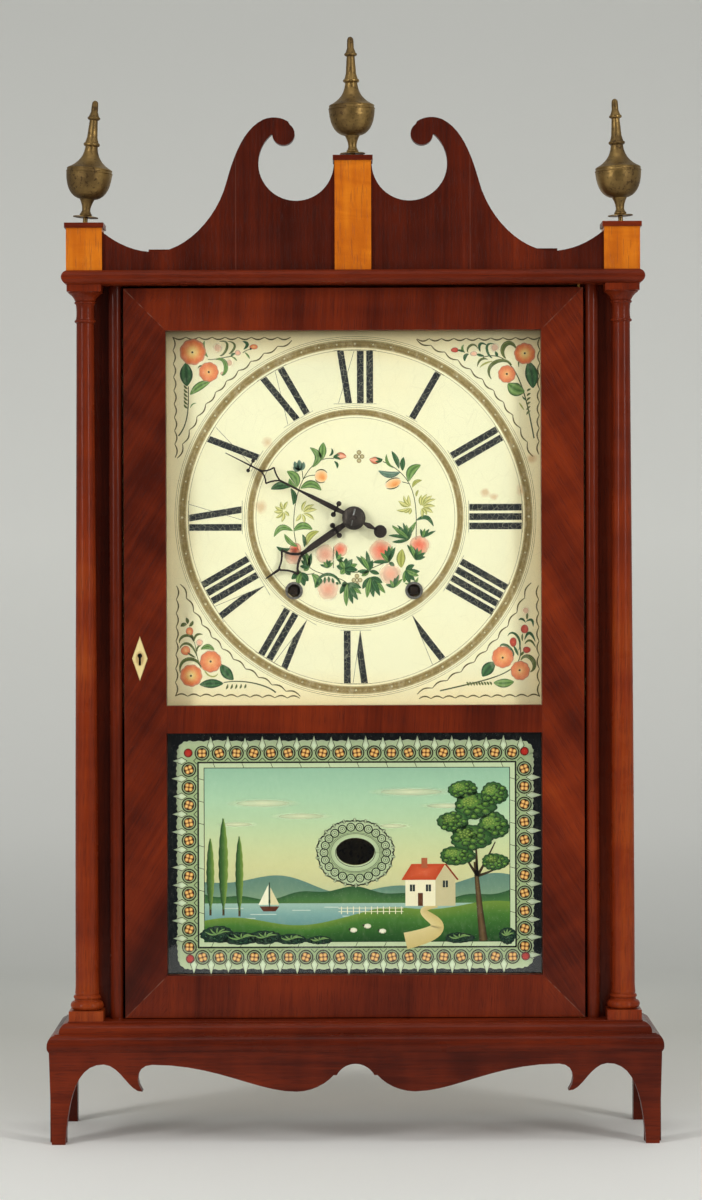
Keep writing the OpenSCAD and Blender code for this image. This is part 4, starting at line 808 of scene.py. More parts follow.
# Four corners of the dial: two big flowers, leaves, buds and a comb of strokes inside garland lines.
# Places are read off the photograph in pixels. corner, across and down are the corner triangle; a leaf
# is its base, tip, width, bend and kind, an arc its points, width and kind, a bud its middle, radius,
# squeeze and kind; a comb holds its first and last stroke, each as foot and tip, and their number
cornerPlants = [
    {
        "corner": (173, 336.5), "across": (291, 337), "down": (175, 457),
        "flowers": [(193, 351.5, 12, "orange"), (209, 371.5, 9.6, "salmon")],
        "leaves": [
            (186, 362, 187, 386, 13, 0.0, "dark"), (190, 394.5, 211.5, 380.5, 8, 0.08, "mid"),
            (205, 340, 208.5, 357, 4, -0.18, "mid"),
        ],
        "arcs": [
            ([(220, 341), (227.5, 344), (225, 352), (220, 355)], 2.6, "brown"),
            ([(228, 341), (235, 345), (232.5, 351), (229, 353)], 2.4, "brown"),
            ([(216, 359), (224.5, 361), (226, 369), (222, 375)], 4.4, "mid"),
            ([(243, 341), (247.5, 344), (244, 349)], 3.4, "dark"),
            ([(245, 352), (248, 355), (250, 358.5)], 1.8, "mid"),
            ([(232, 356.5), (235, 358), (237, 360.5)], 1.6, "mid"),
            ([(231, 355.5), (233, 354), (235.5, 353)], 2.6, "dark"),
            ([(198, 368), (201, 365.5), (205, 368)], 1.6, "brown"),
            ([(190.5, 407.5), (192.5, 404), (196.5, 402.5)], 1.3, "mid"),
        ],
        "buds": [
            (218, 347.5, 5, 1, "faint"), (238, 352.5, 3.2, 0.9, "pale"), (229.5, 362.5, 4, 1, "faint"),
            (254, 346.5, 4, 0.62, "salmon"), (222.5, 373, 2.6, 1, "faint"),
        ],
        "blots": [(251, 348.5), (192.6, 351.8), (209, 371.6)],
        "stems": [
            ([(208, 359), (216, 358.5), (226, 356.8), (233, 356)], 0.36),
            ([(251, 349), (247, 350), (243, 352.5)], 0.28),
            ([(188.5, 386), (188.5, 400), (187.5, 414), (184.5, 425), (178.5, 435.5)], 0.5),
        ],
        "combs": [((188, 388.5), (184, 384.5), (188, 408), (184, 403.5), 6)],
    },
    {
        "corner": (540.5, 337.5), "across": (417, 339), "down": (539, 455),
        "flowers": [(525, 354, 9.8, "orange"), (507, 374.5, 8.6, "salmon")],
        "leaves": [
            (528.5, 361.5, 533, 389, 13, 0.04, "dark"), (508, 383.5, 525, 392, 13.5, -0.12, "mid"),
            (495.5, 351.5, 498, 357.5, 3, 0.0, "dark"),
        ],
        "arcs": [
            ([(517, 350), (509, 343.5), (503, 349), (506, 359)], 5, "brown"),
            ([(512, 365.5), (501, 361), (490.5, 367), (491.5, 379.5)], 3.8, "brown"),
            ([(494.5, 344.5), (487.5, 346), (488, 353), (492.5, 358.5)], 2.6, "dark"),
            ([(487, 345.5), (481, 344), (479.5, 347.5), (480.5, 352)], 2.8, "dark"),
            ([(478, 349), (473, 345), (468.5, 348), (468.5, 353)], 2.4, "brown"),
            ([(469, 354.5), (465.5, 356.5), (465, 361.5)], 3.6, "dark"),
            ([(477, 354.5), (480, 355.5), (484.5, 356.5)], 2.8, "dark"),
            ([(464, 345), (462.5, 349), (465, 353)], 2.4, "mid"),
            ([(488, 359.8), (481, 360), (477.5, 367)], 2.4, "brown"),
            ([(480, 368), (485, 364), (493, 361.5)], 1.8, "olive"),
            ([(521, 360.5), (519, 362.5), (519, 367.5)], 1.6, "brown"),
            ([(457.5, 350.5), (461, 351), (464.5, 352.5)], 2.2, "dark"),
            ([(519, 403), (521.5, 406.5), (524, 410.5)], 1.6, "olive"),
            ([(522.5, 396.5), (524, 399), (526, 400.5)], 1.4, "dark"),
        ],
        "buds": [
            (495, 348, 4.6, 1, "faint"), (474, 354, 3.8, 0.7, "pale"), (455, 350.3, 3.8, 0.66, "red"),
        ],
        "blots": [(525, 353.8), (507, 374.4)],
        "stems": [
            ([(485, 356.5), (492, 358), (500, 360), (510, 364.5), (519, 373), (525, 385), (526, 400),
             (525.5, 412), (529, 427), (536.5, 438)], 0.5),
        ],
        "combs": [((527, 392), (531, 389.3), (526.5, 415.5), (530.5, 411), 6)],
    },
    {
        "corner": (174.5, 695.5), "across": (299, 698), "down": (176, 585),
        "flowers": [(210, 661, 10.6, "salmon"), (190.5, 675, 10.2, "orange")],
        "leaves": [
            (220, 663.5, 233, 679.5, 10.5, -0.05, "dark"), (198.5, 684, 223, 683, 9, 0.02, "dark"),
            (200, 649, 214, 650, 5.4, 0.24, "mid"), (180, 626, 186.5, 624, 4, 0.15, "brown"),
            (185.5, 617, 187, 623.5, 3.4, 0.1, "brown"), (192.5, 620, 188.5, 626, 3.2, 0.1, "brown"),
        ],
        "arcs": [
            ([(200.5, 667.5), (193, 659), (183, 660.5), (179.5, 672)], 3.6, "brown"),
            ([(192.5, 640), (188, 635), (181.5, 636.5), (179, 642.5)], 2.8, "brown"),
            ([(193.5, 640.5), (196, 634.5), (202, 634)], 2.4, "brown"),
            ([(196, 655.5), (190.5, 645), (184, 643), (179, 648)], 2.6, "brown"),
            ([(200, 645), (197, 647), (196.5, 651)], 1.8, "brown"),
            ([(187, 652), (190.5, 654.5), (195, 657)], 2.0, "brown"),
            ([(191, 634), (192, 637), (193, 641)], 2.4, "brown"),
            ([(203, 666), (207, 674), (213, 676), (217, 673)], 1.6, "olive"),
        ],
        "buds": [
            (189, 631, 3.6, 1.2, "salmon"), (199, 642, 3.6, 1, "pale"), (185, 650, 4.6, 1, "salmon"),
        ],
        "blots": [(210, 661), (190.2, 675.2)],
        "stems": [
            ([(193.5, 641), (195.5, 650), (197, 658), (201, 666)], 0.3),
            ([(223, 682), (240, 681.3), (256, 683), (268, 688), (275, 692.2)], 0.55),
        ],
        "combs": [((227, 683.5), (225, 689), (245, 683.5), (243.5, 688), 5)],
    },
    {
        "corner": (539, 697), "across": (418, 699), "down": (538, 586),
        "flowers": [(502, 657.5, 10.6, "salmon"), (519.5, 671, 9.4, "salmon")],
        "leaves": [
            (494.5, 662.5, 481.5, 677, 11.5, -0.05, "dark"), (513.5, 682, 492.5, 683, 9, 0.05, "mid"),
        ],
        "arcs": [
            ([(499, 647), (505, 645.5), (511, 651), (512.5, 657)], 3.2, "dark"),
            ([(520, 660.5), (528, 657), (533.5, 664), (529.5, 672.5)], 4.6, "brown"),
            ([(518, 651), (518.5, 640), (513, 633.5), (507, 636.5)], 2.4, "dark"),
            ([(518, 620.5), (521.5, 619.5), (525, 623)], 2.2, "dark"),
            ([(525.5, 622), (531, 620.5), (532.5, 627)], 2.6, "dark"),
            ([(524, 640), (529, 633.5), (534.5, 642)], 3.0, "dark"),
            ([(524, 644.5), (529.5, 641), (535, 648)], 2.4, "brown"),
            ([(522, 634), (521.5, 637.5), (521.8, 641.5)], 1.8, "brown"),
            ([(513, 646.5), (515.5, 651), (517.5, 656)], 2.6, "dark"),
            ([(523.5, 652), (521.5, 654), (520, 656)], 2.6, "brown"),
            ([(527, 613.5), (526.5, 616.5), (526.5, 620)], 2.4, "brown"),
            ([(511.5, 670.5), (515, 670.6), (518.5, 670.5)], 1.2, "brown"),
        ],
        "buds": [
            (524, 629.5, 3.8, 1.15, "red"), (512.5, 642.5, 3.4, 1.4, "red"),
            (526, 650.3, 3.8, 0.85, "red"), (525, 611, 4, 1, "faint"),
        ],
        "blots": [(502, 658), (518.8, 670.6)],
        "stems": [
            ([(519, 640), (519, 650), (517, 658), (515, 664), (509, 671), (501, 677.5), (488, 681),
             (470, 681.3), (456, 685.5), (440.5, 692.2)], 0.5),
        ],
        "combs": [((465.5, 682), (468, 686.3), (488.5, 682), (491, 685.5), 9)],
    },
]


def dialCorner(painting, plant):
    centre = dialMarks["centre"]
    corner, across, down = (spot(*plant[key]) for key in ("corner", "across", "down"))
    t = np.linspace(0, 1, 90)
    (ax, az), (bx, bz) = across - corner, down - corner
    turned = 1 if ax * bz - az * bx < 0 else -1
    garland(painting, corner + t[:, None] * (across - corner), 9.0, 1.7, -turned)
    garland(painting, corner + t[:, None] * (down - corner), 9.6, 1.6, turned)
    start, end = across - centre, down - centre
    a0, a1 = math.atan2(start[1], start[0]), math.atan2(end[1], end[0])
    a1 += 2 * np.pi * round((a0 - a1) / (2 * np.pi))
    garland(painting, centre + dialMarks["cornerArc"] * roundAbout(a0 + t * (a1 - a0)), 11.4, 2.0, turned)
    for pixels, half in plant["stems"]:
        painting.stroke(curve(spots(*pixels), 40), np.linspace(half * 0.6, half, 40), flowerColors["stem"], 2)
    for foot0, tip0, foot1, tip1, count in plant["combs"]:
        for k in np.linspace(0, 1, count):
            foot = np.array(foot0) + k * (np.array(foot1) - foot0)
            tip = np.array(tip0) + k * (np.array(tip1) - tip0)
            pixelLeaf(painting, *foot, *tip, 2.0, "brown", 3, 0.1)
    for px, py, radius, squeeze, kind in plant["buds"]:
        softFlower(painting, px, py, radius, kind, 2, 3, squeeze)
    for x0, y0, x1, y1, width, bend, kind in plant["leaves"]:
        pixelLeaf(painting, x0, y0, x1, y1, width, kind, 3, bend)
    for pixels, width, kind in plant["arcs"]:
        crescent(painting, pixels, width, kind, 3.5)
    for px, py, radius, kind in plant["flowers"]:
        softFlower(painting, px, py, radius, kind, 4, 9)
    for px, py in plant["blots"]:
        painting.fill(circle(spot(px, py), 0.8, 12), "#1E1A12 #3A2A14/0.8", 5)


# Centre wreath, open at the top, in pixels of the photograph. A leaf is its base, tip, width and bend,
# a feather the base of a leaf cut into long points, the points' width and the points themselves, a
# bloom its middle and the tips of its petals, an apricot its middle, half sizes and lean, a bud its
# middle and the side that it points to
wreath = {
    "mid": [
        (322, 460, 323.5, 442, 8, 0.02), (312, 467.5, 309.5, 447, 7, -0.36),
        (297, 487, 286.5, 471, 9, -0.2), (300, 488.5, 321.5, 490.5, 8, 0.26),
        (293, 531, 312.5, 529.5, 7.5, 0.24), (293, 531, 273.5, 537, 6, -0.34),
        (297, 546.5, 284, 533.5, 5, 0.1), (393, 468, 386.5, 454, 3.2, 0.18),
        (408.5, 482, 421, 465, 9, 0.2), (297, 487.5, 289.5, 478, 5, 0.2),
        (416, 521, 391.5, 525, 6.5, 0.42), (311, 574, 314.5, 588, 8, 0.3),
        (404, 583, 418, 577, 4, -0.3),
    ],
    "dark": [
        (291.5, 486.5, 270.5, 489, 8, -0.12), (290.5, 488, 293, 505, 5.5, 0.14),
        (329, 456, 331.5, 448, 2.4, -0.25), (334, 461, 337, 468.5, 2.8, 0.2),
        (399, 469, 391.5, 451, 5, -0.05), (415, 521, 433.5, 527, 4.4, 0.34),
        (304, 547, 302, 534, 4, -0.1), (402.5, 471, 403.5, 457, 5.2, 0.04),
        (290, 548, 276, 546, 4.5, 0.2),
    ],
    "olive": [
        (306, 545.5, 319, 531, 6.4, 0.2), (401, 568, 402, 549, 9, 0.05), (412, 488, 422, 480.5, 4, 0.2),
        (416, 497, 418.5, 490, 2.4, 0.1),
    ],
    "grey": [
        (400.5, 472, 378, 470.5, 6.4, 0.16), (301, 469, 293, 466.5, 4.5, 0.2),
        (300, 470.5, 294.5, 461, 5, 0.1), (300, 470.5, 299, 459.5, 5.5, 0.0),
        (300.5, 470.5, 303.5, 461.5, 4.5, -0.1),
    ],
    "roses": [
        (293, 556, 9, "pale"), (325, 554, 10, "pale"), (340, 549.5, 7.5, "rose"),
        (380.5, 551, 12, "rose"), (419, 545.5, 10.5, "rose"), (390, 574, 11, "pale"),
        (327.5, 589, 11, "pale"), (295, 548.5, 6.5, "rose"),
    ],
    "feathers": [
        (309, 567, 4.2, [(300, 552), (305, 551), (300.5, 560), (299.5, 566), (303, 570), (311, 553)]),
        (327.5, 568, 2.8, [(319.5, 564.5), (323, 561.5), (326.5, 559), (330, 559.5), (333, 562)]),
        (336.5, 560, 3, [(336, 550), (341, 553.5), (343.5, 557.5), (343, 561.5)]),
        (344, 569, 5.6, [(336, 566), (339, 560), (346, 558), (352, 559), (357, 564), (357.5, 570),
         (350, 575), (340, 574)]),
        (369, 571, 4.4, [(355.5, 556), (360, 555.5), (366, 550.5), (372, 560), (361, 576), (379, 574),
         (357, 571)]),
        (388.5, 562.5, 4, [(372, 562.5), (380, 552.5), (384.5, 549.5), (388.5, 545.5), (392, 546),
         (395, 547), (394, 566)]),
        (409, 539.5, 3.6, [(388, 535.5), (391.5, 526.5), (397, 525), (402.5, 522.5), (406, 524.5),
         (411, 527), (391.5, 542)]),
        (422, 538, 3, [(420, 529), (424.5, 528.5), (429, 529), (435.5, 531)]),
        (415, 560, 3.6, [(406.5, 544.5), (410, 544.5), (413, 547), (417, 547.5), (421.5, 549.5),
         (425, 552.5), (425, 557)]),
        (393.5, 588, 3.2, [(385, 584.5), (389.5, 580), (394.5, 577.5), (398.5, 574.5), (402, 579)]),
        (405, 570, 5, [(419.5, 571.5), (418.5, 576), (414.5, 581), (409.5, 584), (403.5, 583), (414, 565)]),
        (370.5, 577, 5.4, [(362, 589), (366.5, 598), (373, 597.5), (379.5, 596), (385, 593.5), (382, 583)]),
        (347, 583, 5.2, [(339.5, 594), (346, 606.5), (352.5, 604), (357.5, 600), (361, 594), (361, 588),
         (341, 585)]),
        (301, 572, 6, [(291, 579), (297, 585), (304, 586), (308, 581), (294, 573)]),
    ],
    "hanging": (327, 575, [(316.5, 585), (320, 584), (324, 583.5), (328.5, 582.5), (333, 583.5),
        (338, 584.5)]),
    "stems": [
        [(334, 457.5), (322, 461), (312, 467), (304, 478), (299, 489), (294, 503), (293.5, 525),
         (295, 540), (298, 548)],
        [(383, 461), (395, 470), (404, 476), (409, 483), (414.5, 498), (416, 510), (415, 522), (416, 540)],
        [(302, 470.5), (303, 479)], [(315, 475), (308, 476), (303, 479)], [(402, 482), (410, 484)],
        [(309, 567), (318, 572), (327, 575), (338, 578), (348, 584)],
        [(333.5, 547), (333, 556), (333, 568)],
        [(345, 571), (357, 571), (369, 571), (378, 564), (389, 562)],
        [(293, 571), (304, 574), (314, 573)],
    ],
    "blooms": [
        (284, 510.5, [(281, 502), (275.5, 506.5), (274.5, 511.5), (276, 517), (281.5, 521),
         (288.5, 515.5), (287.5, 502)]),
        (301.5, 512.5, [(306, 501.5), (313, 505), (315.5, 509.5), (313, 519.5), (304, 522), (296, 520.5)]),
        (411, 507.5, [(404, 496.5), (408.5, 496), (399, 501.5), (397.5, 510), (404.5, 512.5), (409, 514)]),
        (421, 507.5, [(421.5, 496), (426.5, 495), (431, 496.5), (434.5, 500), (434, 506.5),
         (432, 512.5), (426, 514.5), (421.5, 517)]),
    ],
    "apricots": [(321, 476, 6.4, 6.2, 0.0), (393, 483.5, 8.2, 4.6, 0.35)],
    "cap": [(315.5, 586.5), (320, 577), (328, 574), (335, 577), (340, 584)],
    "buds": [(339.5, 457.3, 1), (376.2, 459.2, -1)],
    "knots": [(358.9, 456.5), (356.5, 580.1)],
}


def strawBloom(painting, px, py, tips):
    for k, (tx, ty) in enumerate(tips):
        dx, dy = tx - px, ty - py
        foot = (px + dx * 0.12, py + dy * 0.12)
        pixelLeaf(painting, *foot, px + dx * 1.1, py + dy * 1.1, 3.2, "straw", 3, 0.12 - 0.05 * (k % 3))
        pixelLeaf(painting, *foot, px + dx * 1.05, py + dy * 1.05, 1.2, "olive", 3.5, 0.2)


# Leaning ellipse with two dark edges
def apricot(painting, px, py, halfX, halfY, lean):
    across, up = roundAbout(turns(40), halfX, halfY).T
    c, d = math.cos(lean), math.sin(lean)
    ring = np.stack([across * c - up * d, across * d + up * c], -1) * photo["scale"]
    lit = spot(px + halfX * 0.3, py + halfY * 0.3)
    painting.fill(spot(px, py) + ring, "#EE8A44 #F3A862 #F6C48C #F7D8AE/0.9", 4, [0.4, 0.8, 1.0], lit)
    for first, last in ((3, 17), (23, 35)):
        half = 0.42 * np.sin(np.linspace(0.3, 2.9, last - first))
        painting.stroke(spot(px, py) + ring[first:last] * 1.06, half, "#3A3A20 #5B5A30", 5)


def wreathBud(painting, px, py, side):
    base, dark = spot(px, py), flowerColors["dark"]
    petal = "#6E3A22 #EE9A72 #F4B698 #DE7C58 #7A4426"
    leaf(painting, base - (3.6 * side, 0), base + (5.0 * side, 0.2), 5.2, petal, 4)
    leaf(painting, base - (4.6 * side, 0.2), base + (0.8 * side, -1.7), 2.0, dark, 5)
    leaf(painting, base - (4.6 * side, 0.0), base + (0.4 * side, 1.6), 1.6, dark, 5)


def goldKnot(painting, px, py):
    for k in range(4):
        loop = spot(px, py) + towards(k * np.pi / 2) * (1, 1.35) * 2.2
        painting.fill(circle(loop, 1.7, 16), "#D9CFA0 #B9A878/0.9 #94845A", 3)
    painting.stroke(closed(circle(spot(px, py), 1.1, 14)), 0.25, "#7E6C42", 4)


def dialWreath(painting):
    for pixels in wreath["stems"]:
        painting.stroke(curve(spots(*pixels), 40), 0.27, flowerColors["stem"], 2)
    for px, py, radius, kind in wreath["roses"]:
        softFlower(painting, px, py, radius, kind, 2, 5)
    for kind in ("mid", "dark", "olive", "grey"):
        for x0, y0, x1, y1, width, bend in wreath[kind]:
            pixelLeaf(painting, x0, y0, x1, y1, width, kind, 3, bend)
    for px, py, width, tips in wreath["feathers"]:
        for k, tip in enumerate(tips):
            kind, bend = "mid" if k % 3 == 1 else "dark", 0.1 * (k / len(tips) - 0.5)
            pixelLeaf(painting, px, py, *tip, width, kind, 4 + 0.5 * (k % 2), bend)
    px, py, tips = wreath["hanging"]
    for tip in tips:
        foot = (px + (tip[0] - px) * 0.8, py + 1 + (tip[0] - px) ** 2 * 0.05)
        pixelLeaf(painting, *foot, *tip, 2.6, "dark", 4, 0.0)
    swell = 0.6 + 0.5 * np.sin(np.linspace(0, np.pi, 24))
    painting.stroke(curve(spots(*wreath["cap"]), 24), swell, flowerColors["dark"], 4)
    sorts = {"blooms": strawBloom, "apricots": apricot, "buds": wreathBud, "knots": goldKnot}
    for key, draw in sorts.items():
        for values in wreath[key]:
            draw(painting, *values)


def dialFlowers():
    flowers = dialSheet()
    low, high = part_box("winding_bushes")
    radius = (high.z - low.z) / 2
    flowers.holes = [(x, (low.z + high.z) / 2, radius) for x in (low.x + radius, high.x - radius)]
    for plant in cornerPlants:
        dialCorner(flowers, plant)
    dialWreath(flowers)
    return flowers.make("dial_flowers", paint("flower_paint", mottle=0.2, rough=0.42), "case", "dial")


dialRings()
dialHours()
dialFlowers()
print("dial is painted")


# Painted lower glass: black margin, stencilled border, oval wreath and a plain country view.
# It lies on the back of the glass, so each lift brings a layer nearer the glass from behind
tablet = {
    "behind": 0.0002,
    "step": 0.000012,
    "grow": 1.0042,
    "hole": {"x": 0.0004, "z": 0.2041, "halfWidth": 0.0138, "halfHeight": 0.0098},
    "inset": 3.4,
    "outer": (173.0, 738.0, 535.0, 971.0),
    "line": (197.0, 762.0, 514.5, 947.0),
    "view": (203.0, 767.5, 508.5, 941.5),
    "pale": "#9CAC7E",
    "light": "#C0CBA2",
    "ink": "#10140F",
    "black": "#10161A",
    "acrossRow": (201, 511, 19),
    "downRow": (769, 946.5, 11),
    "rows": {"top": 752.7, "low": 956.8, "left": 187.8, "right": 523.2},
    "ticksAcross": (212, 500, 11),
    "ticksDown": (778, 934, 8),
    "tickRows": ((764.8, 1), (944.2, -1)),
    "tickColumns": (200, 511.4),
    "pitch": 12.4,
    "rosette": "#C0CBA2 #9CAC7E #93A27A",
    "rosetteRim": "#1E1B0C",
    "heart": "#5A1510 #240D08",
    "petal": "#F2D08A #DDA050 #4A1C0C",
    "spike": "#DDE6CA #C0CBA2",
    "stud": "#B4301E #B3261A #3E0E08",
    "studs": [(187.2, 752.4), (188.6, 958.3), (523.4, 751.6), (524, 956.4)],
    "bead": "#C0CBA2 #C0CBA2 #A9BC8C",
    "beadRing": "#3C4A34",
}
tabletEye = 1000 * np.array([tablet["hole"]["x"], tablet["hole"]["z"]])


def boxSides(box):
    (x0, z1), (x1, z0) = spot(box[0], box[1]), spot(box[2], box[3])
    return x0, z0, x1, z1


# Rounded rectangle with the same count of points on each side and in each corner
def roundedBox(x0, z0, x1, z1, radius=0.01, side=120, bend=14):
    right, left, top, low = x1 - radius, x0 + radius, z1 - radius, z0 + radius
    middles = np.array([[right, top], [left, top], [left, low], [right, low]])
    pieces = []
    for k in range(4):
        turn = np.linspace(k * np.pi / 2, (k + 1) * np.pi / 2, bend)
        pieces.append(middles[k] + radius * roundAbout(turn))
        end = middles[(k + 1) % 4] + radius * towards(turn[-1])
        t = np.linspace(0, 1, side + 2)[1:-1, None]
        pieces.append(pieces[-1][-1] + t * (end - pieces[-1][-1]))
    return np.concatenate(pieces)


# Rosette number k of the border, and the spike beside it that points outwards, along (ox, oz)
def rosette(painting, k, px, py, ox, oz):
    here = spot(px, py)
    painting.fill(circle(here, 4.9, 30), tablet["rosette"], 5)
    painting.stroke(closed(circle(here, 4.85, 30)), 0.46, tablet["rosetteRim"], 6)
    painting.fill(circle(here, 3.75, 24), tablet["heart"], 6)
    turn = 0.35 * math.sin(k * 1.7)
    for petal in range(4):
        petalAt = here + 1.95 * towards(turn + petal * np.pi / 2 + np.pi / 4)
        painting.fill(circle(petalAt, 1.6, 16), tablet["petal"], 7, [0.6, 1.0])
    side, outward = np.array([[oz, -ox], [ox, oz]], float)
    foot = here + side * tablet["pitch"] / 2
    waist = foot + outward * 5.0
    tip = foot + outward * (12.0 + 0.7 * math.sin(k * 2.3))
    spike = np.array([foot + outward * 1.2, waist + side * 2.5, tip, waist - side * 2.5])
    painting.fill(spike, tablet["spike"], 5)
    painting.stroke(closed(spike), 0.26, tablet["ink"], 6)
    for lean in (-2.4, 2.4):
        painting.stroke([foot - outward * 3.4, foot + side * lean - outward * 5.8], 0.24, tablet["ink"], 4)


def tabletBorder(painting):
    pale, light, ink = tint(tablet["pale"]), tint(tablet["light"]), tablet["ink"]
    x0, z0, x1, z1 = boxSides(tablet["outer"])
    edge = roundedBox(x0 + 2.6, z0 + 2.2, x1 - 2.6, z1 - 2.2, 9)
    run = np.arange(len(edge))
    ruffle = 0.95 * np.abs(np.sin(run * 0.9)) + 0.3 * np.sin(run * 0.37)
    ragged = edge - sideways(edge) * ruffle[:, None]
    inner = roundedBox(*boxSides(tablet["line"]))
    frameLine = closed(roundedBox(*boxSides(tablet["view"])))
    band = [closed(line) for line in (ragged, ragged * 0.5 + inner * 0.5, inner)]
    painting.sheet(np.stack(band), [light, pale, pale], 2)
    painting.sheet(np.stack([closed(inner), frameLine]), [light, light], 2)
    painting.stroke(closed(inner), 0.6, ink, 4)
    painting.stroke(frameLine, 0.26, ink, 4)
    xs, ys, at = np.linspace(*tablet["acrossRow"]), np.linspace(*tablet["downRow"]), tablet["rows"]
    places = [(x, at["top"], 0, 1) for x in xs] + [(x, at["low"], 0, -1) for x in xs]
    places += [(at["left"], y, -1, 0) for y in ys] + [(at["right"], y, 1, 0) for y in ys]
    for k, place in enumerate(places):
        rosette(painting, k, *place)
    for stud in tablet["studs"]:
        painting.fill(circle(spot(*stud), 3.2, 20), tablet["stud"], 6)
    for px in np.linspace(*tablet["ticksAcross"]):
        for py, lean in tablet["tickRows"]:
            painting.stroke(spots((px, py - 2.2), (px + 2 * lean, py + 2.2)), 0.2, ink, 4)
    for py in np.linspace(*tablet["ticksDown"]):
        for px in tablet["tickColumns"]:
            painting.stroke(spots((px - 2.6, py), (px + 2.6, py + 1.5)), 0.2, ink, 4)


# Frilled oval round the clear eye: a ring, fine lines and a circle of beads with a leaf after each
def ovalWreath(painting):
    light, pale, ink = tint(tablet["light"]), tint(tablet["pale"]), tablet["ink"]
    turn = turns(144)
    frill = 1 + 0.035 * np.abs(np.sin(turn * 22)) + 0.015 * np.sin(turn * 7)
    edge = tabletEye + roundAbout(turn, 26.6, 22.4) * frill[:, None]
    painting.stroke(closed(edge), 0.55, ink, 9)
    ring = [edge, oval(tabletEye, 20, 16, 144), oval(tabletEye, 13.2, 9.2, 144)]
    painting.sheet(np.stack([closed(line) for line in ring]), [light, pale, light], 9)
    for halfX, halfY, width in ((14.2, 10.2, 0.22), (17.6, 13.6, 0.16), (18.6, 14.4, 0.12)):
        painting.stroke(closed(oval(tabletEye, halfX, halfY, 96)), width, ink, 10)
    for k in range(22):
        a = 2 * np.pi * k / 22
        here = tabletEye + towards(a) * (22.4, 18.4)
        painting.fill(circle(here, 2.9, 18), tablet["bead"], 10)
        painting.stroke(closed(circle(here, 2.85, 18)), 0.38, ink, 11)
        painting.stroke(closed(circle(here, 1.5, 14)), 0.2, tablet["beadRing"], 11)
        painting.fill(circle(here, 0.55, 8), ink, 11)
        out = towards(a + np.pi / 22)
        tones = [tint(ink), light, tint(ink)]
        leaf(painting, tabletEye + out * (25.6, 21.6), tabletEye + out * (29.0, 25.0), 2.6, tones, 10)


# Land from its skyline top(x) down to a level line, in pixels of the photograph
def hillSide(painting, top, low, colors, lift):
    xs = np.linspace(tablet["view"][0], tablet["view"][2], 120)
    ridge, foot, colors = spot(xs, top(xs)).T, spot(xs, low + 0 * xs).T, tints(colors)
    t = np.linspace(0, 1, len(colors))[:, None, None]
    painting.sheet(ridge * (1 - t) + foot * t, colors, lift)


# Clump of leaves: scalloped dark edge, lit towards the upper left
def clump(painting, px, py, width, height, lift, colors="#8DA04A #55772F #2F5429 #16311C"):
    turn = turns(72)
    scallop = 1 + 0.09 * np.abs(np.sin(turn * 7 + px)) + 0.05 * np.sin(turn * 3 + py)
    outline = spot(px, py) + roundAbout(turn, width, height) * photo["scale"] * scallop[:, None]
    painting.fill(outline, colors, lift, [0.45, 0.85, 1.0], spot(px - width * 0.25, py - height * 0.3))
    shades = [tint(code, cover) for code, cover in zip(colors.split(), (0.95, 0.9, 0.75, 0.9))]
    for k in range(11):
        way, reach = 2.4 * k + px, 0.86 * math.sqrt((k + 0.5) / 11)
        x, y = px + math.cos(way) * width * reach, py + math.sin(way) * height * reach
        size = photo["scale"] * (0.22 + 0.05 * math.sin(k * 3.1)) * math.sqrt(width * height)
        ripple = 1 + 0.16 * np.abs(np.sin(turn * 4 + k))
        dab = spot(x, y) + roundAbout(turn, size * 1.25, size * 0.85) * ripple[:, None]
        painting.fill(dab, shades, lift + 0.4, [0.35, 0.8, 1.0], spot(x - size * 0.5, y - size * 0.5))


# Upright rectangle through two opposite corners in pixels of the photograph
def slab(painting, box, colors, lift):
    x0, y0, x1, y1 = box
    painting.fill(spots((x0, y0), (x1, y0), (x1, y1), (x0, y1)), colors, lift)


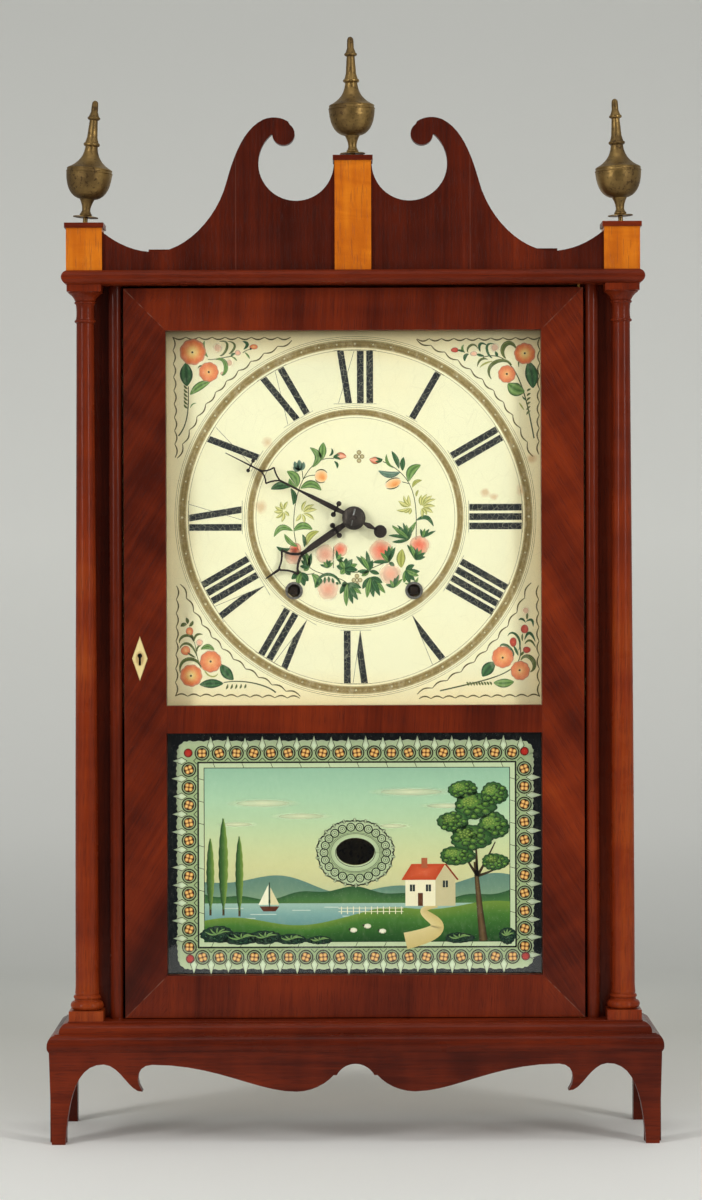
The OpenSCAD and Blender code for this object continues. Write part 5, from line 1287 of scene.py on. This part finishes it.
# Country view. A cloud or clump is its middle and half sizes, a ripple its middle and width, a poplar
# its place, top, foot and width, a branch its tip and thickness
country = {
    "sky": "#93B79A #9EC0A0 #A8C6A2 #B2C9A0 #BDCB9C #C8CC98 #CECB94 #CAC692 #BCC092",
    "cloud": "#EAE6BE/0.75 #E2E2BC/0.5 #D5DCB8/0",
    "clouds": [
        (262, 803, 40, 5), (300, 816, 34, 4), (410, 792, 46, 5),
        (446, 806, 30, 3.5), (236, 824, 22, 3), (392, 826, 20, 3),
    ],
    "ripples": [
        (232, 908, 20), (262, 914, 26), (300, 910, 18), (352, 916, 22), (246, 918, 16), (330, 907, 14),
    ],
    "hull": [(258, 906), (278, 906), (274, 911), (262, 911)],
    "sails": {
        "#F0E8C8": [(267, 884), (267, 904.5), (257, 904.5)],
        "#DCCFA0": [(269, 887), (278, 904.5), (269, 904.5)],
    },
    "mast": [(268, 882), (268, 907)],
    "poplars": [(222, 818, 915, 8.5), (238, 836, 916, 7), (209, 838, 915, 7)],
    "lane": [(436, 906), (424, 914), (436, 926), (404, 941)],
    "wall": "#EAE0BC",
    "front": (404, 878, 434, 906),
    "gable": [(434, 878), (444, 866), (454, 878), (454, 906), (434, 906)],
    "roof": [(400, 880), (410, 864), (444, 864), (434, 880)],
    "verge": [(444, 864), (456.5, 880)],
    "windows": [(411, 888), (427, 888), (444, 884)],
    "doorway": (416.5, 893, 421.5, 906),
    "chimney": (420, 858, 426, 868),
    "fence": "#EFE6C4",
    "posts": {"from": 340, "to": 402, "gap": 6.0, "top": 906.5, "low": 914},
    "fenceRails": [[(337, 908), (402, 908)], [(337, 911.5), (402, 911.5)]],
    "trunk": [(482, 941), (478, 905), (474, 862)],
    "branches": [(458, 846, 0.8), (494, 842, 0.8), (474, 830, 0.9), (500, 866, 0.7)],
    "clumps": [
        (494, 862, 13, 8), (456, 856, 17, 9), (470, 838, 20, 12), (492, 826, 15, 13),
        (452, 822, 15, 10), (474, 806, 20, 13), (493, 794, 13, 11), (462, 790, 14, 9),
    ],
    "bushes": [
        (216, 934, 16, 8), (240, 938, 18, 6), (264, 937, 15, 6.5), (290, 939, 14, 5),
        (506, 936, 8, 8), (458, 938, 14, 5), (318, 940, 12, 4),
    ],
    "bush": "#3E5A38 #24422C #172E24 #0E1E1A",
    "frond": "#5C7A4A #86A05A #3E5A38",
    "sheep": [(352, 930), (366, 926), (381, 931)],
    "sheepDark": "#2A241C",
}


def skyAndHills(painting):
    x0, z0, x1, z1 = boxSides(tablet["view"])
    rows = np.linspace(z1, spot(0, 898)[1], 9)
    xs = np.linspace(x0, x1, 60)
    painting.sheet(np.stack([np.stack([xs, z + 0 * xs], -1) for z in rows]), tints(country["sky"]), 1)
    for px, py, w, h in country["clouds"]:
        shape = oval(spot(px, py), w * photo["scale"], h * photo["scale"], 40)
        painting.fill(shape, country["cloud"], 2)

    def farHills(x):
        return 884 - 7 * np.sin((x - 190) / 38) - 4 * np.sin((x - 150) / 17)

    def nearHills(x):
        return 893 - 5 * np.sin((x - 300) / 30) - 2 * np.sin(x / 9)

    hillSide(painting, farHills, 902, "#5E8070 #6F8C74 #839A78", 2)
    hillSide(painting, nearHills, 906, "#2C5230 #426A38 #567A3E", 3)


def lakeAndMeadow(painting):
    def meadow(x):
        return 921 - 16 / (1 + np.exp(-(x - 372) / 13)) + 4 * np.sin(x / 21)

    hillSide(painting, lambda x: 903 + 0 * x, 925, "#9DB8A6 #7DA29A #668E88", 4)
    for px, py, w in country["ripples"]:
        painting.stroke(spots((px - w / 2, py), (px + w / 2, py)), 0.28, "#DCE6D4/0.8", 5)
    hillSide(painting, meadow, 941.5, "#6F8A36 #43702C #2E5A24 #1D431D", 6)


def boatAndPoplars(painting):
    painting.fill(spots(*country["hull"]), "#5A2A18", 7)
    for color, corners in country["sails"].items():
        painting.fill(spots(*corners), color, 7)
    painting.stroke(spots(*country["mast"]), 0.3, tablet["ink"], 8)
    n = np.linspace(0, 1, 40)
    for px, top, low, width in country["poplars"]:
        painting.stroke(spots((px, low), (px, top + 20)), 0.8, "#2E2416 #5A4528", 7)
        ragged = 1 + 0.18 * np.abs(np.sin(n * 24 + px))
        half = width * np.sin(np.pi * np.clip(n, 0.02, 0.98)) ** 0.6 * ragged * 0.5 * photo["scale"]
        path = spot(px + 0 * n, low - 6 - n * (low - 6 - top)).T
        painting.stroke(path, half, "#7C9340 #44692E #1D3A20", 8)


def laneAndCottage(painting):
    wall, posts = country["wall"], country["posts"]
    painting.stroke(curve(spots(*country["lane"]), 30), np.linspace(1.2, 6.0, 30), "#D8C48A #C8B070", 7)
    slab(painting, country["front"], wall, 8)
    painting.fill(spots(*country["gable"]), "#C4B78C", 8)
    painting.fill(spots(*country["roof"]), "#D2603A #B8421F", 9)
    painting.stroke(spots(*country["verge"]), 0.6, "#8A2E14", 9)
    for px, py in country["windows"]:
        slab(painting, (px - 2.6, py - 3.4, px + 2.6, py + 3.4), "#2B3430", 9)
        painting.stroke(spots((px, py - 3.4), (px, py + 3.4)), 0.12, wall, 10)
    slab(painting, country["doorway"], "#5A3018", 9)
    slab(painting, country["chimney"], "#A85A38", 10)
    for px in np.arange(posts["from"], posts["to"], posts["gap"]):
        painting.stroke(spots((px, posts["low"]), (px, posts["top"])), 0.3, country["fence"], 8)
    for rail in country["fenceRails"]:
        painting.stroke(spots(*rail), 0.22, country["fence"], 8)


def greatTree(painting):
    trunk = curve(spots(*country["trunk"]), 24)
    painting.stroke(trunk, np.linspace(3.0, 1.3, 24), "#2A2114 #6B5232 #3B2C1A", 9)
    for x1, y1, w in country["branches"]:
        branch = curve(spots((476, 876), ((476 + x1) / 2, (872 + y1) / 2 + 3), (x1, y1)), 14)
        painting.stroke(branch, np.linspace(1.1, w * 0.5, 14), "#3B2C1A", 9)
    for px, py, w, h in country["clumps"]:
        clump(painting, px, py, w, h, 10 + (px % 3) * 0.3)
        lit = (px - w * 0.28, py - h * 0.3, w * 0.42, h * 0.4)
        clump(painting, *lit, 11, "#B7BE62 #88A048 #5E8136 #4C7430")


def foreground(painting):
    for px, py, w, h in country["bushes"]:
        clump(painting, px, py, w, h, 9, country["bush"])
        for turn in np.linspace(0.4, 2.7, 5):
            tip = spot(px, py) + towards(turn) * (w, h) * 0.62
            leaf(painting, spot(px, py), tip, 1.2, country["frond"], 10)
    dark = country["sheepDark"]
    for px, py in country["sheep"]:
        painting.fill(oval(spot(px, py), 2.6, 1.7, 16), "#F2EDD8 #D8D0B0", 8)
        painting.fill(circle(spot(px - 4, py - 0.8), 0.8, 10), dark, 9)
        for dx in (-2, 2):
            painting.stroke(spots((px + dx, py + 1), (px + dx, py + 4.5)), 0.16, dark, 8)


# Black ground of the lower glass, shut off behind the picture
def tabletGround(painting):
    inset = tablet["inset"]
    x0, z0, x1, z1 = (1000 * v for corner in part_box("tablet_glass") for v in (corner.x, corner.z))
    rim = roundedBox(x0 + inset, z0 + inset, x1 - inset, z1 - inset, 0.01, 40, 4)
    way = rim - tabletEye
    eye = tabletEye + roundAbout(np.arctan2(way[:, 1], way[:, 0]), 13.9, 9.9)
    ground = np.stack([closed(line) for line in (eye, eye * 0.5 + rim * 0.5, rim)])
    painting.sheet(ground, [tint(tablet["black"])] * 3, 0)


def tabletPainting():
    view = Painting(paneBack + tablet["behind"], tablet["step"], tablet["grow"])
    layers = [tabletGround, skyAndHills, lakeAndMeadow, boatAndPoplars, laneAndCottage]
    layers += [greatTree, foreground, tabletBorder, ovalWreath]
    for layer in layers:
        layer(view)
    look = paint("glass_paint", mottle=0.05, shine=0.05, rough=0.5, hole=tablet["hole"])
    return view.make("tablet_painting", look, "door", "painted_glass")


tabletPainting()
print("lower glass is painted")


# Hands, collar and pin. A stroke of a hand is a row of places along it, across it and its half width
# there, in millimetres from the dial's centre; a disc is its place along, across and its radius
hands = {
    "chamfer": 0.15,
    "minute": {
        "node": "minute_hand", "angle": 152.9,
        "strokes": [
            [(4, 0, 1.5), (10.5, 0, 1.5), (13, 0, 1.7), (17, 0, 1.85), (22, 0, 1.8), (28, 0, 1.6),
             (34, 0, 1.45), (38, 0, 1.1), (42, 0, 0.85), (45.5, 0, 0.7), (52, 0, 0.68), (60.5, 0, 0.8)],
            [(73.5, 0, 1.0), (75, 0, 0.9), (78, 0, 0.62), (84, 0, 0.58), (92, 0, 0.44), (103.5, 0, 0.32)],
            [(-4, 0, 1.2), (-8.2, 0, 0.9), (-10, 0, 1.5), (-12.2, 0, 1.95), (-14.5, 0, 1.5),
             (-16.9, 0, 0.85), (-19, 0, 1.2)],
            [(14.2, -4.2, 0.7), (14.2, 4.2, 0.7)],
            [(83.2, -3.8, 0.45), (83.2, 3.8, 0.45)],
        ],
        "sides": [
            (59.6, 0, 0.6), (62.6, 1.7, 0.6), (64.8, 3.4, 0.6), (66.4, 5.0, 0.6), (67.6, 6.5, 0.6),
            (69.1, 4.2, 0.6), (71.3, 2.0, 0.6), (73.5, 0.7, 0.6), (75, 0, 0.6),
        ],
        "discs": [
            (0, 0, 7.5), (14.2, 4.4, 1.85), (14.2, -4.4, 1.85), (83.2, 3.9, 1.35), (83.2, -3.9, 1.35),
            (-21.4, 0, 4.7),
        ],
    },
    "hour": {
        "node": "hour_hand", "angle": 214.4,
        "strokes": [
            [(4, 0, 1.9), (10.5, 0, 1.9), (13, 0, 2.3), (16.5, 0, 2.45), (28, 0, 2.4), (34, 0, 2.3),
             (38, 0, 2.1), (41, 0, 1.6), (43.5, 0, 1.45), (46.5, 0, 1.8)],
            [(64, 0, 1.1), (66, 0, 0.95), (70, 0, 0.8), (77, 0, 0.45)],
            [(15.6, -4.2, 0.85), (15.6, 4.2, 0.85)],
        ],
        "sides": [
            (45, 0.6, 0.9), (47.5, 1.3, 0.95), (49.7, 2.8, 0.95), (51.8, 4.5, 0.9), (54, 7.0, 0.85),
            (55.6, 10.6, 0.8), (57, 8.6, 0.75), (58.3, 6.6, 0.72), (60.5, 4.1, 0.7), (62.6, 2.4, 0.7),
            (65, 0.7, 0.7),
        ],
        "discs": [(0, 0, 8.5), (15.6, 4.3, 1.9), (15.6, -4.3, 1.9)],
    },
    "collar": [
        (8.3, 0.0), (8.4, 0.3), (7.5, 0.62), (6.95, 0.5), (6.6, 0.95), (5.7, 1.4), (4.2, 1.75),
        (2.4, 1.92),
    ],
    "arbor": [(1.9, 1.6), (1.9, 2.7), (1.5, 3.0)],
    "pin": {"from": (0.9, 6.6), "to": (-1.8, -5.6), "radii": (0.62, 0.42), "depth": 2.25},
}


# Rings round a profile of radius and depth, turned about an upright place on the dial
def turnedAbout(profile, centre, sides=48):
    turn = turns(sides)
    profile = np.asarray(profile)
    x = centre[0] + profile[:, :1] * np.cos(turn)
    z = centre[1] + profile[:, :1] * np.sin(turn)
    return np.stack([x, np.repeat(profile[:, 1:], sides, axis=1), z], -1)


# Flat stroke with chamfered edges: a ring of eight corners at each place of its path
def flatStroke(path, front, back, seat):
    path = np.asarray(path, float) / 1000
    chamfer = hands["chamfer"] / 1000
    half = path[:, 2:]
    inside = half - chamfer
    across = np.concatenate([-half, -inside, inside, half, half, inside, -inside, -half], 1)
    near, far = front + chamfer, back - chamfer
    depth = np.array([near, front, front, near, far, back, back, far])
    flat = path[:, None, :2] + across[..., None] * sideways(path[:, :2])[:, None]
    depth = np.broadcast_to(depth, across.shape)
    return np.stack([flat @ seat["along"], depth, seat["centre"] + flat @ seat["up"]], -1)


def joined(pieces):
    verts, faces, count = [], [], 0
    for v, f in pieces:
        verts.append(v)
        faces += [[i + count for i in face] for face in f]
        count += len(v)
    return np.concatenate(verts), faces


def handPiece(body):
    look, e = hands[body], hands["chamfer"] / 1000
    front, back = (corner.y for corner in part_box(look["node"]))
    c, d = math.cos(math.radians(look["angle"])), math.sin(math.radians(look["angle"]))
    seat = {"along": np.array([c, -d]), "up": np.array([d, c]), "centre": dialMiddle}
    mirrored = [(s, -v, h) for s, v, h in look["sides"]]
    corner = int(np.argmax([v for s, v, h in look["sides"]])) + 1
    paths = list(look["strokes"])
    for side in (look["sides"], mirrored):
        paths += [side[:corner], side[corner - 1:]]
    pieces = [roundedMesh(flatStroke(path, front, back, seat)) for path in paths]
    for s, v, r in look["discs"]:
        place = np.array([s, v]) / 1000
        middle = (place @ seat["along"], seat["centre"] + place @ seat["up"])
        full, small = r / 1000, (r - hands["chamfer"]) / 1000
        profile = [(small, front), (full, front + e), (full, back - e), (small, back)]
        pieces.append(roundedMesh(turnedAbout(profile, middle, 40)))
    verts, faces = joined(pieces)
    piece = addPiece(body + "_hand_blade", verts, faces, blackSteel, body, "blued_steel", smooth=False)
    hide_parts(look["node"])


# Domed collar, the arbor's end and the taper pin through it that holds the hands on
def collarPieces():
    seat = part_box("minute_hand")[0].y
    for name, material, slot in (("collar", collarSteel, "blued_steel"), ("arbor", blackSteel, "steel")):
        profile = [(r / 1000, seat - rise / 1000) for r, rise in hands[name]]
        rings = turnedAbout(profile, (0.0, dialMiddle))
        addPiece("hand_" + name, *roundedMesh(rings), material, "minute", slot)
    pin = hands["pin"]
    start, end = np.array(pin["from"]), np.array(pin["to"])
    way = (end - start) / np.linalg.norm(end - start)
    side = np.array([-way[1], way[0]])
    turn = turns(16)
    t = np.array([0.0, 0.02, 0.98, 1.0])
    thick, thin = pin["radii"]
    radius = (thick + t * (thin - thick)) * np.array([0.7, 1, 1, 0.6])
    across = (radius[:, None] * np.cos(turn))[..., None] * side
    flat = (start + t[:, None] * (end - start))[:, None] + across
    depth = pin["depth"] + radius[:, None] * np.sin(turn)
    rings = np.stack([flat[..., 0] / 1000, seat - depth / 1000, dialMiddle + flat[..., 1] / 1000], -1)
    addPiece("hand_pin", *roundedMesh(rings), greySteel, "minute", "steel")


handPiece("minute")
handPiece("hour")
collarPieces()


# Falling cord: three strands twisted round each other, radius r (1 - d |sin 1.5(a + 2 pi z / pitch)|)
cordLook = {"pitch": 0.006, "groove": 0.24, "travel": 0.33, "around": 18, "step": 0.0009}


def cordFall(name, node):
    low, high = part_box(node)
    length = high.z - low.z
    z = np.linspace(low.z, high.z, int(length / cordLook["step"]))[:, None]
    a = turns(cordLook["around"])[None]
    twist = 1.5 * (a + 2 * np.pi * z / cordLook["pitch"])
    r = (high.x - low.x) / 2 * (1 - cordLook["groove"] * np.abs(np.sin(twist)))
    x = (low.x + high.x) / 2 + r * np.cos(a)
    y = (low.y + high.y) / 2 + r * np.sin(a)
    verts, faces = roundedMesh(np.stack([x, y, z + 0 * a], -1))
    piece = addPiece(name, verts, faces, flax, "case", "flax")
    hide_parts(node)
    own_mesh(piece)


cordFall("time_cord_fall", "time_cord")
cordFall("strike_cord_fall", "strike_cord")
print("collar and cords are in")


# Pale studio: a floor that curves up into a backdrop, its paper graded with painted light and shade,
# two tall soft lamps and one above
studio = {
    "floorAhead": -1.3,
    "bend": 1.0,
    "radius": 0.35,
    "halfWidth": 3.4,
    "top": 2.6,
    # Painted light falloff: the floor paler towards the lens and darker towards the backdrop, the backdrop
    # darker at the horizon, palest a little above it and darker higher up
    "floorPaintedFalloff": [(0.0, "#FBFBF7"), (0.45, "#FAFAF4"), (0.72, "#DCDCD4"), (0.9, "#D3D4CE"), (1.0, "#CECFCA")],
    "wallPaintedFalloff": [(0.0, "#CECFCA"), (0.07, "#DCDDD8"), (0.22, "#EBECE7"), (0.5, "#D4D5D0"), (1.0, "#C4C5C0")],
    "sky": "#BCBDB8",
    "worldLight": 0.36,
    "darkRoom": 0.8,
    "lamps": {
        "lamp_left": {"place": (-1.5, -1.7, 1.15), "aim": (0, 0, 0.4), "size": (0.36, 1.5), "power": 17},
        "lamp_right": {"place": (1.5, -1.7, 1.15), "aim": (0, 0, 0.4), "size": (0.36, 1.5), "power": 17},
        "lamp_above": {"place": (0, -0.9, 2.3), "aim": (0, 0.05, 0.4), "size": (1.8, 0.9), "power": 8},
    },
}


def studioSweep():
    ahead, bend, radius = studio["floorAhead"], studio["bend"], studio["radius"]
    line = [(ahead, 0.0), (-0.6, 0.0), (0.2, 0.0), (bend, 0.0)]
    for a in np.linspace(0, np.pi / 2, 14)[1:]:
        line.append((bend + radius * math.sin(a), radius * (1 - math.cos(a))))
    line.append((bend + radius, studio["top"]))
    y, z = np.array(line).T[..., None]
    x = np.linspace(-studio["halfWidth"], studio["halfWidth"], 9)
    grid = np.stack([x + 0 * y, y + 0 * x, z + 0 * x], -1)
    index = np.arange(grid.size // 3).reshape(-1, 9)
    corners = [index[:-1, :-1], index[:-1, 1:], index[1:, 1:], index[1:, :-1]]
    quads = np.stack(corners, -1).reshape(-1, 4).tolist()
    mesh = bpy.data.meshes.new("studio_sweep")
    mesh.from_pydata(grid.reshape(-1, 3), [], quads)
    mesh.polygons.foreach_set("use_smooth", [True] * len(mesh.polygons))
    sweep = bpy.data.objects.new("studio_sweep", mesh)
    scene.collection.objects.link(sweep)
    f = Finish("studio_paper")
    y = f.part(f.place(), "Y")
    z = f.part(f.place(), "Z")
    # Painted light and shade on the paper, graded along the floor and up the backdrop
    ground = f.ramp(((y + 0.8) / 1.9).held(), studio["floorPaintedFalloff"])
    wall = f.ramp((z / 2.0).held(), studio["wallPaintedFalloff"])
    color = f.blend(z.over(0.06, 0.12), ground, wall)
    paper = f.shade({"Base Color": color, "Roughness": 0.75, "Specular IOR Level": 0.2})
    clear = f.add("BsdfTransparent", {}, {"Color": (1, 1, 1, 1)})
    away = f.add("NewGeometry", {}, {}, "Backfacing")  # so that the sweep hides nothing from outside
    mesh.materials.append(f.show(f.add("MixShader", {}, {0: away, 1: paper, 2: clear})))


def studioLamp(name, place, aim, size, power):
    lamp = bpy.data.lights.new(name, "AREA")
    lamp.shape = "RECTANGLE"
    lamp.size, lamp.size_y = size
    lamp.energy = power
    holder = bpy.data.objects.new(name, lamp)
    holder.location = place
    holder.rotation_euler = (Vector(aim) - Vector(place)).to_track_quat("-Z", "Y").to_euler()
    scene.collection.objects.link(holder)


def studioWorld():
    world = bpy.data.worlds.new("studio_world")
    scene.world = world
    f = Finish("studio_world", world)
    camera = f.add("LightPath", {}, {}, "Is Camera Ray")
    glass = f.add("LightPath", {}, {}, "Is Transmission Ray")
    shine = f.add("LightPath", {}, {}, "Is Glossy Ray")
    seen = (camera + glass + shine).held()
    color = f.blend(seen, tint("#FFFFFF"), tint(studio["sky"]))
    way = f.add("TexCoord", {}, {}, "Generated")
    ahead = (0 - f.part(way, "Y")).over(0.45, 0.7)  # the room behind the lens is darker than the backdrop
    strength = studio["worldLight"] + seen * (1 - studio["worldLight"]) - shine * ahead * studio["darkRoom"]
    light = f.add("Background", {}, {"Color": color, "Strength": strength})
    f.add("OutputWorld", {}, {"Surface": light})


studioSweep()
for name, look in studio["lamps"].items():
    studioLamp(name, **look)
studioWorld()

# Level camera in front of the clock, at the height that the photograph was taken from
cameraLook = {"place": (-0.0021, -2.637, eyeHeight), "lens": 109.3, "shift": -0.0248, "roll": 0.0031}
camera = bpy.data.objects.new("camera", bpy.data.cameras.new("camera"))
camera.location = cameraLook["place"]
camera.rotation_euler = (math.pi / 2, cameraLook["roll"], 0)
camera.data.lens = cameraLook["lens"]
camera.data.sensor_width = 36
camera.data.shift_y = cameraLook["shift"]
camera.data.clip_start = 0.05
scene.collection.objects.link(camera)
scene.camera = camera
scene.view_settings.view_transform = "Standard"
print("studio and camera are set")
